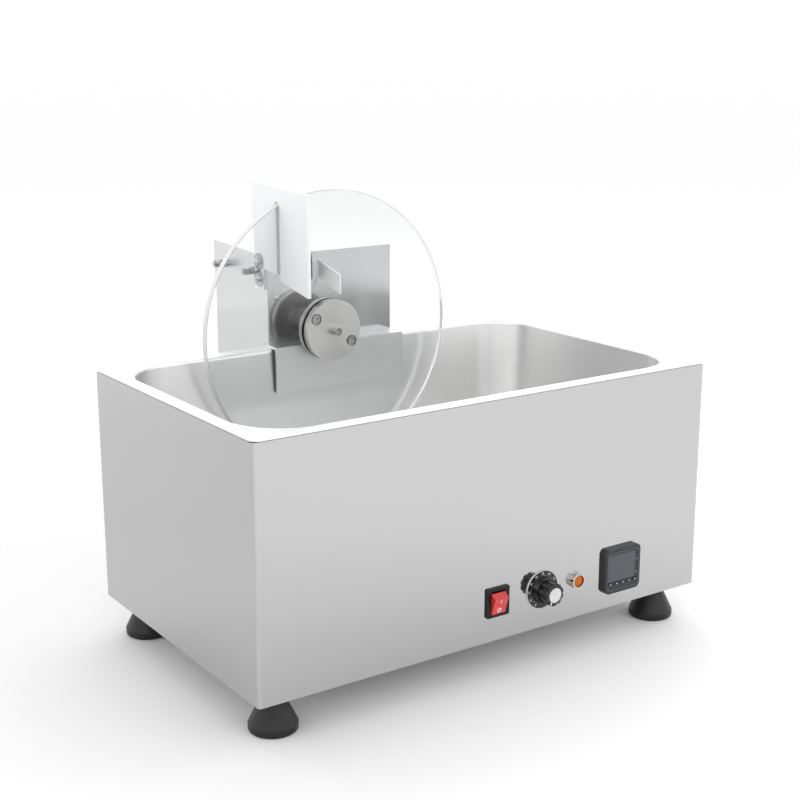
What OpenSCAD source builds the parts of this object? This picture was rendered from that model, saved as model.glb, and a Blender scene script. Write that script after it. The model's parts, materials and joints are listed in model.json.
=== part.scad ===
// Chocolate melting tank: a heated stainless pan in a sheet case, with a motor-driven
// dipping wheel and its scraper hung over the back rim.
// Sizes are in millimetres. Pieces are drawn from the case's front left bottom corner,
// x to the right, y to the back and z up, and placed() moves them to the part's own frame.

/* [Case] */
// Width of the case and of the pan's rim
body_w = 530; // [490:1:600]
// Depth of the case and of the pan's rim
body_d = 325; // [305:1:380]
// Height of the case without feet and pan
body_h = 240; // [225:1:280]
// Sheet thickness of the case
sheet_t = 1.5; // [1:0.1:2]
// Outer radius of the case's upright edges
case_corner_r = 3; // [2.2:0.1:6]
// Width of the lip turned in at the top, under the rim
top_lip_w = 12; // [8:0.5:13.5]
// Width of the lip turned in at the bottom, above the feet
bottom_lip_w = 50; // [46:1:60]

/* [Pan] */
// Width of the rim from the case's outline to the pan's walls
pan_rim_w = 16.5; // [16:0.5:24]
// Depth of the pan from the rim to the floor
pan_depth = 150; // [130:1:154]
// How far each wall leans in on its way down
pan_draft = 8; // [3:0.5:10]
// Radius of the pan's upright corners
pan_corner_r = 55; // [46:1:70]
// Radius between the walls and the floor
pan_floor_r = 26; // [15:1:30]
// Radius of the rolled lip between the rim and the walls
pan_lip_r = 4; // [3:0.25:6]
// Sheet thickness of the pan
pan_t = 1.5; // [1:0.1:2]
// Outer corner radius of the rim
rim_corner_r = 9; // [4:0.5:15]
// Thickness of the rubber strip under the rim
gasket_t = 0.5; // [0.4:0.1:2]

/* [Feet] */
// Height of the rubber feet
foot_h = 39.5; // [30:0.5:50]
// Radius of a foot at the floor
foot_bottom_r = 23; // [19:0.5:27]
// Radius of a foot under the case
foot_top_r = 7.5; // [6:0.5:12]
// Distance from the case's sides to a foot's middle
foot_inset = 31; // [29:0.5:34]

/* [Controls] */
// Height of the row of controls above the case's bottom
control_z = 40; // [36:0.5:46]
// Distance from the right side to the switch
rocker_in = 268; // [255:1:290]
// Distance from the right side to the speed knob
knob_in = 212; // [208:1:225]
// Distance from the right side to the lamp
lamp_in = 168; // [160:1:173]
// Distance from the right side to the temperature controller
controller_in = 108.5; // [90:0.5:115]
// Width of the switch's frame
rocker_frame_w = 27.5; // [25:0.5:32]
// Height of the switch's frame
rocker_frame_h = 30; // [29:0.5:36]
// Radius of the dial plate
dial_r = 19.25; // [16:0.25:21]
// Radius of the knob above its flared foot
knob_r = 11.5; // [10:0.25:14]
// Length of the knob
knob_len = 18; // [15:0.5:24]
// Radius of the lamp's bezel
lamp_r = 8.4; // [8:0.1:11]
// Side of the controller's square front
controller_w = 47.5; // [46.5:0.5:54]
// How far the controller's front stands out
controller_proud = 5; // [5:0.5:12]

/* [Wheel] */
// Radius of the clear wheel
wheel_r = 150; // [130:1:155]
// Thickness of the wheel
wheel_t = 8; // [6:0.5:8.5]
// Distance from the left side to the axle
axle_x = 254.5; // [248:0.5:262]
// Height of the axle above the rim
axle_rise = 18.5; // [17:0.5:26]
// Gap between the wheel and the hook plate behind it
wheel_gap = 8; // [7.5:0.5:12]
// Radius of the hub's two discs
hub_r = 33.5; // [31:0.5:36]
// Thickness of the hub's front disc
hub_cap_t = 7; // [6.5:0.5:10]
// Radius of the drive shaft
shaft_r = 8; // [6:0.5:10]

/* [Wheel unit] */
// Thickness of the bracket's and side panel's plate
plate_t = 2; // [1.5:0.1:2.5]
// Distance from the left side to the hook plate's left edge
hook_x = 194; // [185:1:196]
// Width of the hook plate
hook_w = 163; // [140:1:180]
// How far the hook plate hangs below the rim
hook_drop = 47; // [35:1:60]
// Gap between the hook plate and the pan's back wall
hook_gap = 5.5; // [4:0.5:8]
// Height of the upright plate above the rim
upright_rise = 98.5; // [92:0.5:105]
// Gap between the case's back and the upright plate
upright_gap = 0.5; // [0.4:0.1:2]
// Thickness of the scraper
scraper_t = 4; // [3:0.5:5]
// How far the scraper's back edge stands above the rim
scraper_rise = 176.5; // [168:0.5:190]
// Gap between the wheel and the scraper's slot
slot_gap = 1; // [0.6:0.1:2]
// Reach of the side panel behind the case
panel_reach = 116; // [108:1:130]

/* [Hidden] */
$fn = 64;

// One length that every cut runs past the face it opens
overrun = 1;
// Radial play of a turning shaft in its bore
run_play = 0.05;
// Radial play of a piece that is pushed or screwed into its seat
seat_play = 0.02;
// Gap beside a piece that slides
slide_play = 0.2;

// Levels and planes that more than one piece shares
pan_top_z = body_h + gasket_t + pan_t;
rocker_x = body_w - rocker_in;
knob_x = body_w - knob_in;
lamp_x = body_w - lamp_in;
controller_x = body_w - controller_in;
pan_floor_z = pan_top_z - pan_depth;
pan_under_z = pan_floor_z - pan_t;
axle_z = pan_top_z + axle_rise;
rim_play = 0.3;
saddle_top_z = pan_top_z + rim_play + plate_t;
hook_y = body_d - pan_rim_w - hook_gap - plate_t;
wheel_back_y = hook_y - wheel_gap;
wheel_y = wheel_back_y - wheel_t;
hub_cap_y = wheel_y - hub_cap_t;
upright_y = body_d + upright_gap;
upright_back_y = upright_y + plate_t;
upright_top_z = pan_top_z + upright_rise;
panel_x = hook_x + 3 * plate_t / 2;
panel_in_x = panel_x + plate_t;
scraper_x = panel_x - scraper_t;
panel_rear_y = body_d + panel_reach;

// Frame: the origin is below the middle of the whole part, on the floor
dial_t = 1.2;
knob_gap = 0.6;
cap_t = 1.8;
cap_sink = 1;
knob_front = dial_t + knob_gap + knob_len;
control_reach = knob_front + cap_t - cap_sink;
frame_y = (control_reach - panel_rear_y) / 2;

module placed() {
    translate([-body_w / 2, frame_y, foot_h]) children();
}

// Local frame on the front panel: x to the right, y up and z out of the panel
module on_panel(x) {
    placed() translate([x, 0, control_z]) rotate([90, 0, 0]) children();
}

// Local frame on the back panel: x to the left seen from the front, y up and z out of it
module on_back(x, z) {
    placed() translate([x, body_d, z]) rotate([90, 0, 180]) children();
}

// Local frame on the axle: z runs to the front from plane y
module on_axle(y) {
    placed() translate([axle_x, y, axle_z]) rotate([90, 0, 0]) children();
}

// Extrudes an outline in y and z over the thickness t, from plane x to the right
module across(x, t) {
    translate([x, 0, 0]) rotate([90, 0, 90]) linear_extrude(t) children();
}

module rounded_rect(w, d, r) {
    translate([r, 0]) square([w - 2 * r, d]);
    translate([0, r]) square([w, d - 2 * r]);
    for (x = [r, w - r], y = [r, d - r]) translate([x, y]) circle(r);
}

module centred_rect(w, d, r) {
    translate([-w / 2, -d / 2]) rounded_rect(w, d, r);
}

module block_at(corner, size) {
    translate(corner) cube(size);
}

module tube(h, outer_r, inner_r) {
    linear_extrude(h) difference() {
        circle(outer_r);
        circle(inner_r);
    }
}

module hex_nut(h, across_flats, bore_r) {
    difference() {
        cylinder(h = h, r = across_flats / sqrt(3), $fn = 6);
        translate([0, 0, -overrun]) cylinder(h = h + 2 * overrun, r = bore_r);
    }
}

// Head above z = 0 with a hexagon socket, shank below
module socket_screw(head_r, head_h, socket_r, socket_h, shank_r, shank_l) {
    difference() {
        union() {
            cylinder(h = head_h, r = head_r);
            translate([0, 0, -shank_l]) cylinder(h = shank_l + head_h / 2, r = shank_r);
        }
        translate([0, 0, head_h - socket_h]) cylinder(h = socket_h + overrun, r = socket_r, $fn = 6);
    }
}

// Domed head above z = 0, shank below
module dome_screw(head_r, head_h, shank_r, shank_l) {
    rotate_extrude() intersection() {
        translate([0, head_h - (head_r * head_r + head_h * head_h) / (2 * head_h)])
            circle((head_r * head_r + head_h * head_h) / (2 * head_h));
        square([head_r, head_h]);
    }
    translate([0, 0, -shank_l]) cylinder(h = shank_l, r = shank_r);
}

function arc_points(cx, cy, r, from, to, steps) =
    [for (i = [0 : steps]) let (a = from + (to - from) * i / steps) [cx + r * cos(a), cy + r * sin(a)]];

// Case

// Cut-outs in the panels
rocker_cut_w = 20;
rocker_cut_h = 26;
bushing_r = 4.5;
lamp_barrel_r = 7.3;
controller_body_w = 44.5;
panel_play = 0.2;
inlet_w = 27;
inlet_h = 20;
inlet_in = 90;
inlet_x = body_w - inlet_in;
inlet_z = 45;
socket_gap = 100;
socket_x = inlet_x - socket_gap;
socket_r = 8;
foot_bore_r = 2.7;

foot_places = [
    [foot_inset, foot_inset],
    [body_w - foot_inset, foot_inset],
    [foot_inset, body_d - foot_inset],
    [body_w - foot_inset, body_d - foot_inset]
];

module panel_cut(w, h) {
    translate([0, 0, -sheet_t - overrun]) linear_extrude(sheet_t + 2 * overrun)
        square([w + 2 * panel_play, h + 2 * panel_play], center = true);
}

module panel_hole(r) {
    translate([0, 0, -sheet_t - overrun]) cylinder(h = sheet_t + 2 * overrun, r = r + panel_play);
}

module case_cavity() {
    inner_h = body_h - 2 * sheet_t;
    translate([sheet_t, sheet_t, sheet_t]) linear_extrude(inner_h)
        rounded_rect(body_w - 2 * sheet_t, body_d - 2 * sheet_t, case_corner_r - sheet_t);
}

module lip_opening(z, lip_w) {
    block_at([lip_w, lip_w, z - overrun],
        [body_w - 2 * lip_w, body_d - 2 * lip_w, sheet_t + 2 * overrun]);
}

module body_shell() {
    color("silver") difference() {
        placed() difference() {
            linear_extrude(body_h) rounded_rect(body_w, body_d, case_corner_r);
            case_cavity();
            lip_opening(0, bottom_lip_w);
            lip_opening(body_h - sheet_t, top_lip_w);
            for (p = concat(foot_places, base_screw_places))
                translate([p[0], p[1], -overrun])
                    cylinder(h = sheet_t + 2 * overrun, r = foot_bore_r);
        }
        on_panel(rocker_x) panel_cut(rocker_cut_w, rocker_cut_h);
        on_panel(knob_x) panel_hole(bushing_r);
        on_panel(lamp_x) panel_hole(lamp_barrel_r);
        on_panel(controller_x) panel_cut(controller_body_w, controller_body_w);
        on_back(inlet_x, inlet_z) panel_cut(inlet_w, inlet_h);
        on_back(socket_x, inlet_z) panel_hole(socket_r);
    }
}

// Base plate: closes the bottom from inside and carries the electrics
base_lap = 22;
base_inset = bottom_lip_w - base_lap;
base_foot_r = 26;
base_screw_r = 2.5;
base_head_r = 5;
base_head_h = 2.5;
base_screw_l = 8;
base_screw_in = bottom_lip_w - base_lap / 2;
base_top_z = 2 * sheet_t;
vent_w = 5;
vent_l = 60;
vent_count = 8;
vent_pitch = 14;
base_screw_places = [
    for (x = [body_w / 4, body_w / 2, body_w * 3 / 4], y = [base_screw_in, body_d - base_screw_in]) [x, y]
];

module base_plate() {
    color("lightgray") placed() difference() {
        block_at([base_inset, base_inset, sheet_t],
            [body_w - 2 * base_inset, body_d - 2 * base_inset, sheet_t]);
        for (p = foot_places)
            translate([p[0], p[1], 0]) cylinder(h = base_top_z + overrun, r = base_foot_r);
        for (p = base_screw_places)
            translate([p[0], p[1], 0]) cylinder(h = base_top_z + overrun, r = foot_bore_r);
        for (i = [0 : vent_count - 1])
            block_at([body_w / 4 + i * vent_pitch, bottom_lip_w + vent_l / 2, 0],
                [vent_w, vent_l, base_top_z + overrun]);
    }
}

module base_screws() {
    color("gray") placed() for (p = base_screw_places)
        translate([p[0], p[1], 0]) rotate([180, 0, 0])
            dome_screw(base_head_r, base_head_h, base_screw_r, base_screw_l);
}

// Feet
foot_lip_h = 7.5;
foot_edge_r = 3;
foot_pocket_r = 8;
foot_seat = 14;
foot_screw_r = 2.5;
foot_screw_head_r = 5;
foot_screw_head_h = 4;
foot_nut_af = 8;
foot_nut_h = 4;
arc_steps = 8;

module foot(place) {
    outline = concat(
        [[foot_bore_r, 0], [foot_bore_r, -foot_seat]],
        [[foot_pocket_r, -foot_seat], [foot_pocket_r, -foot_h]],
        arc_points(foot_bottom_r - foot_edge_r, foot_edge_r - foot_h, foot_edge_r, -90, 0, arc_steps),
        [[foot_bottom_r, foot_lip_h - foot_h], [foot_top_r, 0]]
    );
    color("dimgray") placed() translate([place[0], place[1], 0]) rotate_extrude() polygon(outline);
}

module foot_front_left() { foot(foot_places[0]); }
module foot_front_right() { foot(foot_places[1]); }
module foot_back_left() { foot(foot_places[2]); }
module foot_back_right() { foot(foot_places[3]); }

module foot_bolts() {
    color("silver") placed() for (p = foot_places) translate([p[0], p[1], 0]) {
        translate([0, 0, -foot_seat]) rotate([180, 0, 0])
            dome_screw(foot_screw_head_r, foot_screw_head_h, foot_screw_r,
                foot_seat + sheet_t + foot_nut_h + overrun);
        translate([0, 0, sheet_t]) hex_nut(foot_nut_h, foot_nut_af, foot_screw_r + seat_play);
    }
}

// Pan

pan_left = pan_rim_w + pan_corner_r;
pan_right = body_w - pan_left;
pan_front = pan_rim_w + pan_corner_r;
pan_back = body_d - pan_front;
// Middle of each corner, the angle it starts at and the straight side before it
pan_corners = [
    [[pan_right, pan_back], 0, pan_back - pan_front],
    [[pan_left, pan_back], 90, pan_right - pan_left],
    [[pan_left, pan_front], 180, pan_back - pan_front],
    [[pan_right, pan_front], 270, pan_right - pan_left]
];

// Section of the wall, out from a corner's middle and down from the rim
module pan_section() {
    foot_r = pan_corner_r - pan_draft;
    lip_x = pan_corner_r + pan_lip_r;
    fillet_x = foot_r - pan_floor_r;
    fillet_y = pan_floor_r - pan_depth;
    polygon(concat(
        arc_points(lip_x, -pan_lip_r, pan_lip_r, 90, 180, arc_steps),
        arc_points(fillet_x, fillet_y, pan_floor_r, 0, -90, arc_steps),
        [[0, -pan_depth], [0, -pan_depth - pan_t]],
        arc_points(fillet_x, fillet_y, pan_floor_r + pan_t, -90, 0, arc_steps),
        arc_points(lip_x, -pan_lip_r, pan_lip_r - pan_t, 180, 90, arc_steps)
    ));
}

module pan_rim() {
    hole_in = pan_rim_w - pan_lip_r;
    translate([0, 0, -pan_t]) linear_extrude(pan_t) difference() {
        rounded_rect(body_w, body_d, rim_corner_r);
        translate([hole_in, hole_in])
            rounded_rect(body_w - 2 * hole_in, body_d - 2 * hole_in, pan_corner_r + pan_lip_r);
    }
}

module pan() {
    color("gainsboro") placed() translate([0, 0, pan_top_z]) {
        pan_rim();
        for (c = pan_corners) translate([c[0][0], c[0][1], 0]) {
            rotate([0, 0, c[1]]) rotate_extrude(angle = 90) pan_section();
            rotate([90, 0, c[1]]) linear_extrude(c[2]) pan_section();
        }
        block_at([pan_left, pan_front, -pan_depth - pan_t],
            [pan_right - pan_left, pan_back - pan_front, pan_t]);
    }
}

gasket_inset = 5;

module rim_gasket() {
    color("black") placed() translate([0, 0, body_h]) linear_extrude(gasket_t) difference() {
        translate([gasket_inset, gasket_inset])
            rounded_rect(body_w - 2 * gasket_inset, body_d - 2 * gasket_inset, rim_corner_r);
        translate([top_lip_w, top_lip_w]) square([body_w - 2 * top_lip_w, body_d - 2 * top_lip_w]);
    }
}

// Heater, insulation and sensor under the pan's floor
heater_in = 105;
heater_w = body_w - 2 * heater_in;
heater_d = 120;
heater_t = 3;
pad_margin = 20;
pad_t = 15;
probe_r = 3;
probe_l = 44;
clip_w = 14;
clip_l = 30;
clip_h = 9;
clip_gap = 6;
clip_x = body_w / 2 + heater_w / 2 + pad_margin + clip_gap;

module under_pan(w, d, h, z) {
    placed() block_at([(body_w - w) / 2, (body_d - d) / 2, z - h], [w, d, h]);
}

module heater_mat() {
    color("orangered") under_pan(heater_w, heater_d, heater_t, pan_under_z);
}

module insulation_pad() {
    color("khaki")
        under_pan(heater_w + 2 * pad_margin, heater_d + 2 * pad_margin, pad_t, pan_under_z - heater_t);
}

module probe_axis() {
    placed() translate([clip_x + clip_w / 2, body_d / 2, pan_under_z - clip_h / 2]) rotate([90, 0, 0])
        children();
}

module sensor_clip() {
    color("silver") difference() {
        placed() block_at([clip_x, (body_d - clip_l) / 2, pan_under_z - clip_h], [clip_w, clip_l, clip_h]);
        probe_axis() cylinder(h = clip_l + 2 * overrun, r = probe_r + seat_play, center = true);
    }
}

module sensor_probe() {
    color("gray") probe_axis() cylinder(h = probe_l, r = probe_r, center = true);
}

// Electrics on the base plate
block_w = 64;
block_d = 20;
block_h = 16;
block_bays = 6;
bay_w = 7;
bay_h = 9;
electrics_in = 75;
electrics_y = body_d - bottom_lip_w - electrics_in;
board_w = 90;
board_d = 60;
board_t = 1.6;
standoff_r = 3;
standoff_h = 9;
standoff_in = 6;
coil_r = 11;
coil_h = 14;
chip_w = 26;
chip_d = 14;
chip_h = 8;
board_margin = 8;
relay_w = 45;
relay_d = 58;
relay_h = 22;
relay_in = 30;
board_gap = 30;
block_gap = 81;
relay_x = body_w - bottom_lip_w - relay_in - relay_w;
board_x = relay_x - board_gap - board_w;
block_x = board_x - block_gap - block_w;
relay_foot = 3;
relay_step = 9;

module terminal_block() {
    step = block_w / block_bays;
    color("ivory") placed() difference() {
        block_at([block_x, electrics_y, base_top_z], [block_w, block_d, block_h]);
        for (i = [0 : block_bays - 1])
            block_at([block_x + (i + 0.5) * step - bay_w / 2, electrics_y - overrun,
                    base_top_z + block_h - bay_h],
                [bay_w, block_d + 2 * overrun, bay_h + overrun]);
    }
}

module control_board() {
    z = base_top_z + standoff_h;
    color("seagreen") placed() {
        block_at([board_x, electrics_y, z], [board_w, board_d, board_t]);
        translate([board_x + board_margin + coil_r, electrics_y + board_d / 2, z + board_t])
            cylinder(h = coil_h, r = coil_r);
        for (y = [board_margin, board_d - board_margin - chip_d])
            block_at([board_x + board_w - board_margin - chip_w, electrics_y + y, z + board_t],
                [chip_w, chip_d, chip_h]);
    }
}

module board_standoffs() {
    color("white") placed()
        for (x = [standoff_in, board_w - standoff_in], y = [standoff_in, board_d - standoff_in])
            translate([board_x + x, electrics_y + y, base_top_z]) cylinder(h = standoff_h, r = standoff_r);
}

module heater_relay() {
    color("dimgray") placed() {
        block_at([relay_x, electrics_y, base_top_z], [relay_w, relay_d, relay_foot]);
        block_at([relay_x, electrics_y + relay_step, base_top_z],
            [relay_w, relay_d - 2 * relay_step, relay_h]);
    }
}

// Sockets on the back
inlet_flange_w = 31;
inlet_flange_h = 24;
inlet_flange_t = 3;
inlet_depth = 22;
inlet_wall = 2;
inlet_floor = 4;
inlet_r = 3;
pin_w = 2;
pin_h = 4;
pin_l = 16;
pin_pitch = 7;
socket_flange_r = 11;
socket_flange_t = 3;
socket_depth = 16;
socket_bore_r = 6;

module power_inlet() {
    color("black") on_back(inlet_x, inlet_z) difference() {
        union() {
            linear_extrude(inlet_flange_t) centred_rect(inlet_flange_w, inlet_flange_h, inlet_r);
            translate([0, 0, -inlet_depth]) linear_extrude(inlet_depth)
                square([inlet_w, inlet_h], center = true);
        }
        translate([0, 0, inlet_floor - inlet_depth])
            linear_extrude(inlet_depth - inlet_floor + inlet_flange_t + overrun)
                square([inlet_w - 2 * inlet_wall, inlet_h - 2 * inlet_wall], center = true);
    }
}

module inlet_pins() {
    color("gold") on_back(inlet_x, inlet_z) for (x = [-pin_pitch, 0, pin_pitch])
        translate([x - pin_w / 2, -pin_h / 2, inlet_floor - inlet_depth]) cube([pin_w, pin_h, pin_l]);
}

module motor_socket() {
    color("silver") on_back(socket_x, inlet_z) difference() {
        union() {
            cylinder(h = socket_flange_t, r = socket_flange_r);
            translate([0, 0, -socket_depth]) cylinder(h = socket_depth + overrun, r = socket_r);
        }
        translate([0, 0, inlet_floor - socket_depth])
            cylinder(h = socket_depth + socket_flange_t, r = socket_bore_r);
    }
}

// Switch
frame_t = 2;
frame_edge_r = 2;
rocker_depth = 24;
rocker_wall = 1.5;
rocker_floor = 3;
rocker_gap = 0.4;
rocker_tilt = 17.5;
pivot_r = 1.5;
pivot_depth = 3.8;
pivot_reach = 1;
// Outline of the paddle, measured from its pivot
rocker_end_gap = 0.8;
rocker_end_out = 2.4;
rocker_tip_in = 1.75;
rocker_tip_out = 9.7;
rocker_dip = 0.5;
rocker_heel_h = 5;
rocker_heel_share = 0.45;
rocker_well_w = rocker_cut_w - 2 * rocker_wall;
rocker_well_h = rocker_cut_h - 2 * rocker_wall;

module rocker_frame() {
    color("black") on_panel(rocker_x) difference() {
        union() {
            linear_extrude(frame_t) centred_rect(rocker_frame_w, rocker_frame_h, frame_edge_r);
            translate([0, 0, -rocker_depth]) linear_extrude(rocker_depth)
                square([rocker_cut_w, rocker_cut_h], center = true);
        }
        translate([0, 0, rocker_floor - rocker_depth])
            linear_extrude(rocker_depth - rocker_floor + frame_t + overrun)
                square([rocker_well_w, rocker_well_h], center = true);
        translate([0, 0, -pivot_depth]) rotate([0, 90, 0])
            cylinder(h = rocker_well_w + 2 * pivot_reach, r = pivot_r + run_play, center = true);
    }
}

// The paddle is drawn about its pivot and rests with its lower half pressed in
module rocker() {
    half = rocker_well_h / 2 - rocker_end_gap;
    tip = half - rocker_tip_in;
    heel = half * rocker_heel_share;
    w = rocker_well_w - 2 * rocker_gap;
    color("red") on_panel(rocker_x) translate([0, 0, -pivot_depth]) rotate([rocker_tilt, 0, 0]) {
        rotate([90, 0, 90]) translate([0, 0, -w / 2]) linear_extrude(w)
            polygon([[-half, rocker_end_out], [-tip, rocker_tip_out], [0, rocker_tip_out - rocker_dip],
                [tip, rocker_tip_out], [half, rocker_end_out], [heel, -rocker_heel_h],
                [-heel, -rocker_heel_h]]);
        rotate([0, 90, 0]) cylinder(h = w + 2 * pivot_reach, r = pivot_r, center = true);
    }
}

// Speed control
pot_r = 12;
pot_depth = 12;
pot_shaft_r = 3;
pot_shaft_seat = 8;
bushing_l = 3.8;
pot_nut_af = 12;
pot_nut_h = 2.2;
knob_pocket_r = 7.8;
knob_pocket_h = 2.6;
knob_shaft_l = 12;
knob_edge = 0.6;
knob_cap_r = 7.5;
knob_flare = 2;
knob_flare_h = 5;
flute_r = 1.6;
flute_count = 10;
flute_step = 0.5;
flute_lift = knob_flare_h + flute_step;

module dial_plate() {
    color("black") on_panel(knob_x) tube(dial_t, dial_r, bushing_r + seat_play);
}

module potentiometer() {
    color("dimgray") on_panel(knob_x) difference() {
        union() {
            translate([0, 0, -sheet_t - pot_depth]) cylinder(h = pot_depth, r = pot_r);
            translate([0, 0, -sheet_t - overrun])
                cylinder(h = bushing_l + sheet_t + overrun, r = bushing_r);
        }
        translate([0, 0, -sheet_t - pot_shaft_seat])
            cylinder(h = pot_shaft_seat + sheet_t + bushing_l + overrun, r = pot_shaft_r + run_play);
    }
}

module pot_nut() {
    color("silver") on_panel(knob_x) translate([0, 0, dial_t])
        hex_nut(pot_nut_h, pot_nut_af, bushing_r + seat_play);
}

module pot_shaft() {
    from = -sheet_t - pot_shaft_seat + slide_play;
    color("silver") on_panel(knob_x) translate([0, 0, from])
        cylinder(h = dial_t + knob_gap + knob_pocket_h + knob_shaft_l - from, r = pot_shaft_r);
}

module speed_knob() {
    color("black") on_panel(knob_x) translate([0, 0, dial_t + knob_gap]) difference() {
        union() {
            cylinder(h = knob_len - knob_edge, r = knob_r);
            cylinder(h = knob_flare_h, r1 = knob_r + knob_flare, r2 = knob_r);
            translate([0, 0, knob_len - knob_edge])
                cylinder(h = knob_edge, r1 = knob_r, r2 = knob_r - knob_edge);
        }
        translate([0, 0, -overrun]) cylinder(h = knob_pocket_h + overrun, r = knob_pocket_r);
        cylinder(h = knob_pocket_h + knob_shaft_l + slide_play, r = pot_shaft_r + seat_play);
        translate([0, 0, knob_len - cap_sink]) cylinder(h = cap_sink + overrun, r = knob_cap_r + seat_play);
        for (i = [0 : flute_count - 1]) rotate([0, 0, i * 360 / flute_count])
            translate([knob_r, 0, flute_lift]) cylinder(h = knob_len - flute_lift + overrun, r = flute_r);
    }
}

module knob_cap() {
    color("silver") on_panel(knob_x) translate([0, 0, knob_front - cap_sink])
        cylinder(h = cap_t, r = knob_cap_r);
}

// Lamp
lamp_ring_h = 5.6;
lamp_taper = 0.3;
lamp_barrel_l = 22;
lens_r = 6.3;
lens_h = 5;
lens_dome_h = 1.5;
lens_seat = 16;
lamp_nut_af = 19;
lamp_nut_h = 3;

module lamp_bezel() {
    color("silver") on_panel(lamp_x) difference() {
        union() {
            cylinder(h = lamp_ring_h, r1 = lamp_r, r2 = lamp_r - lamp_taper);
            translate([0, 0, -lamp_barrel_l]) cylinder(h = lamp_barrel_l + overrun, r = lamp_barrel_r);
        }
        translate([0, 0, -lens_seat])
            cylinder(h = lens_seat + lamp_ring_h + overrun, r = lens_r + seat_play);
    }
}

module lamp_lens() {
    color("orange") on_panel(lamp_x) {
        translate([0, 0, -lens_seat]) cylinder(h = lens_seat + lens_h - lens_dome_h, r = lens_r);
        translate([0, 0, lens_h - lens_dome_h]) dome_screw(lens_r, lens_dome_h, lens_r, overrun);
    }
}

module lamp_nut() {
    color("silver") on_panel(lamp_x) translate([0, 0, -sheet_t - lamp_nut_h])
        hex_nut(lamp_nut_h, lamp_nut_af, lamp_barrel_r + seat_play);
}

// Temperature controller
controller_edge_r = 6;
controller_depth = 66;
controller_wall = 2;
controller_face = 3;
screen_w = 36;
screen_h = 28;
screen_t = 1.2;
screen_shift = 1.5;
screen_rise = 3;
screen_r = 2;
button_count = 5;
button_w = 5.4;
button_h = 3;
button_l = 3;
button_proud = 0.7;
button_pitch = 8.5;
button_drop = 13.5;
button_well = 4;
back_t = 2;
strip_w = 30;
strip_h = 8;
strip_l = 7;
clamp_w = 52;
clamp_t = 6;

// Button number i counts from 0 at the left
function button_x(i) = (i - (button_count - 1) / 2) * button_pitch;

module controller_housing() {
    inner_w = controller_body_w - 2 * controller_wall;
    hollow = controller_depth - controller_face;
    color("darkslategray") on_panel(controller_x) difference() {
        union() {
            linear_extrude(controller_proud) centred_rect(controller_w, controller_w, controller_edge_r);
            translate([0, 0, -controller_depth]) linear_extrude(controller_depth)
                square(controller_body_w, center = true);
        }
        translate([0, 0, -controller_depth - overrun]) linear_extrude(hollow + overrun)
            square(inner_w, center = true);
        translate([-screen_shift, screen_rise, controller_proud - screen_t])
            linear_extrude(screen_t + overrun)
            centred_rect(screen_w + 2 * seat_play, screen_h + 2 * seat_play, screen_r);
        for (i = [0 : button_count - 1])
            translate([button_x(i), -button_drop, controller_proud - button_well])
                linear_extrude(button_well + overrun)
                    square([button_w + 2 * slide_play, button_h + 2 * slide_play], center = true);
    }
}

module controller_screen() {
    color("gray") on_panel(controller_x) translate([-screen_shift, screen_rise, controller_proud - screen_t])
        linear_extrude(screen_t) centred_rect(screen_w, screen_h, screen_r);
}

module controller_back() {
    w = controller_body_w - 2 * controller_wall - 2 * seat_play;
    color("ivory") on_panel(controller_x) translate([0, 0, -controller_depth]) {
        linear_extrude(back_t) square(w, center = true);
        for (y = [-1, 1]) translate([0, y * (w / 2 - strip_h), -strip_l]) linear_extrude(strip_l)
            square([strip_w, strip_h], center = true);
    }
}

module controller_clamp() {
    color("black") on_panel(controller_x) translate([0, 0, -sheet_t - clamp_t]) linear_extrude(clamp_t)
        difference() {
            square(clamp_w, center = true);
            square(controller_body_w + 2 * seat_play, center = true);
        }
}

module controller_button(i) {
    color("dimgray") on_panel(controller_x)
        translate([button_x(i), -button_drop, controller_proud + button_proud - button_l])
            linear_extrude(button_l) square([button_w, button_h], center = true);
}

module controller_button_1() { controller_button(0); }
module controller_button_2() { controller_button(1); }
module controller_button_3() { controller_button(2); }
module controller_button_4() { controller_button(3); }
module controller_button_5() { controller_button(4); }

// Bracket of the wheel unit

upright_drop = 42;
upright_foot_z = pan_top_z - upright_drop;
// Notch in the upright's top edge and the blade that stands to the front beside it
notch_in = 36;
notch_w = 20;
notch_depth = 30.5;
notch_x = panel_in_x + notch_in;
blade_in = 6.5;
blade_x = notch_x + notch_w + blade_in;
blade_t = 1.5;
blade_turn = 69.5;
blade_gap = 3;
blade_root_low = 69;
blade_root_high = 90;
blade_tip_low = 53.5;
blade_tip_high = 77;
blade_corner_r = 4;
// Parts of the gearbox and cover that pass through the upright
boss_r = 12.5;
boss_play = 0.3;
gear_screw_x = 38.5;
gear_screw_z = 24;
gear_screw_r = 2.5;
screw_grip = 1.5;
gear_places = [for (x = [-gear_screw_x, gear_screw_x], z = [-gear_screw_z, gear_screw_z]) [x, z]];
cover_half_w = 51.5;
cover_half_h = 39;
cover_t = 1.2;
cover_screw_r = 2;
cover_screw_in = 6;
cover_screw_x = cover_half_w - cover_screw_in;
cover_screw_z = cover_half_h - cover_screw_in;
cover_front_place = [-cover_screw_x, cover_screw_z];
cover_back_places = [[-cover_screw_x, -cover_screw_z], [cover_screw_x, -cover_screw_z]];
cover_places = concat([cover_front_place], cover_back_places);

// The blade slopes down to the wheel's back and has a round upper corner there
module blade() {
    reach = (upright_back_y - wheel_back_y - blade_gap) / sin(blade_turn);
    translate([blade_x, upright_back_y, pan_top_z]) rotate([0, 0, -blade_turn]) rotate([90, 0, 0])
        linear_extrude(blade_t) polygon(concat(
            [[0, blade_root_high], [0, blade_root_low], [reach, blade_tip_low]],
            arc_points(reach - blade_corner_r, blade_tip_high - blade_corner_r, blade_corner_r, 0, 90,
                arc_steps)
        ));
}

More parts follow.
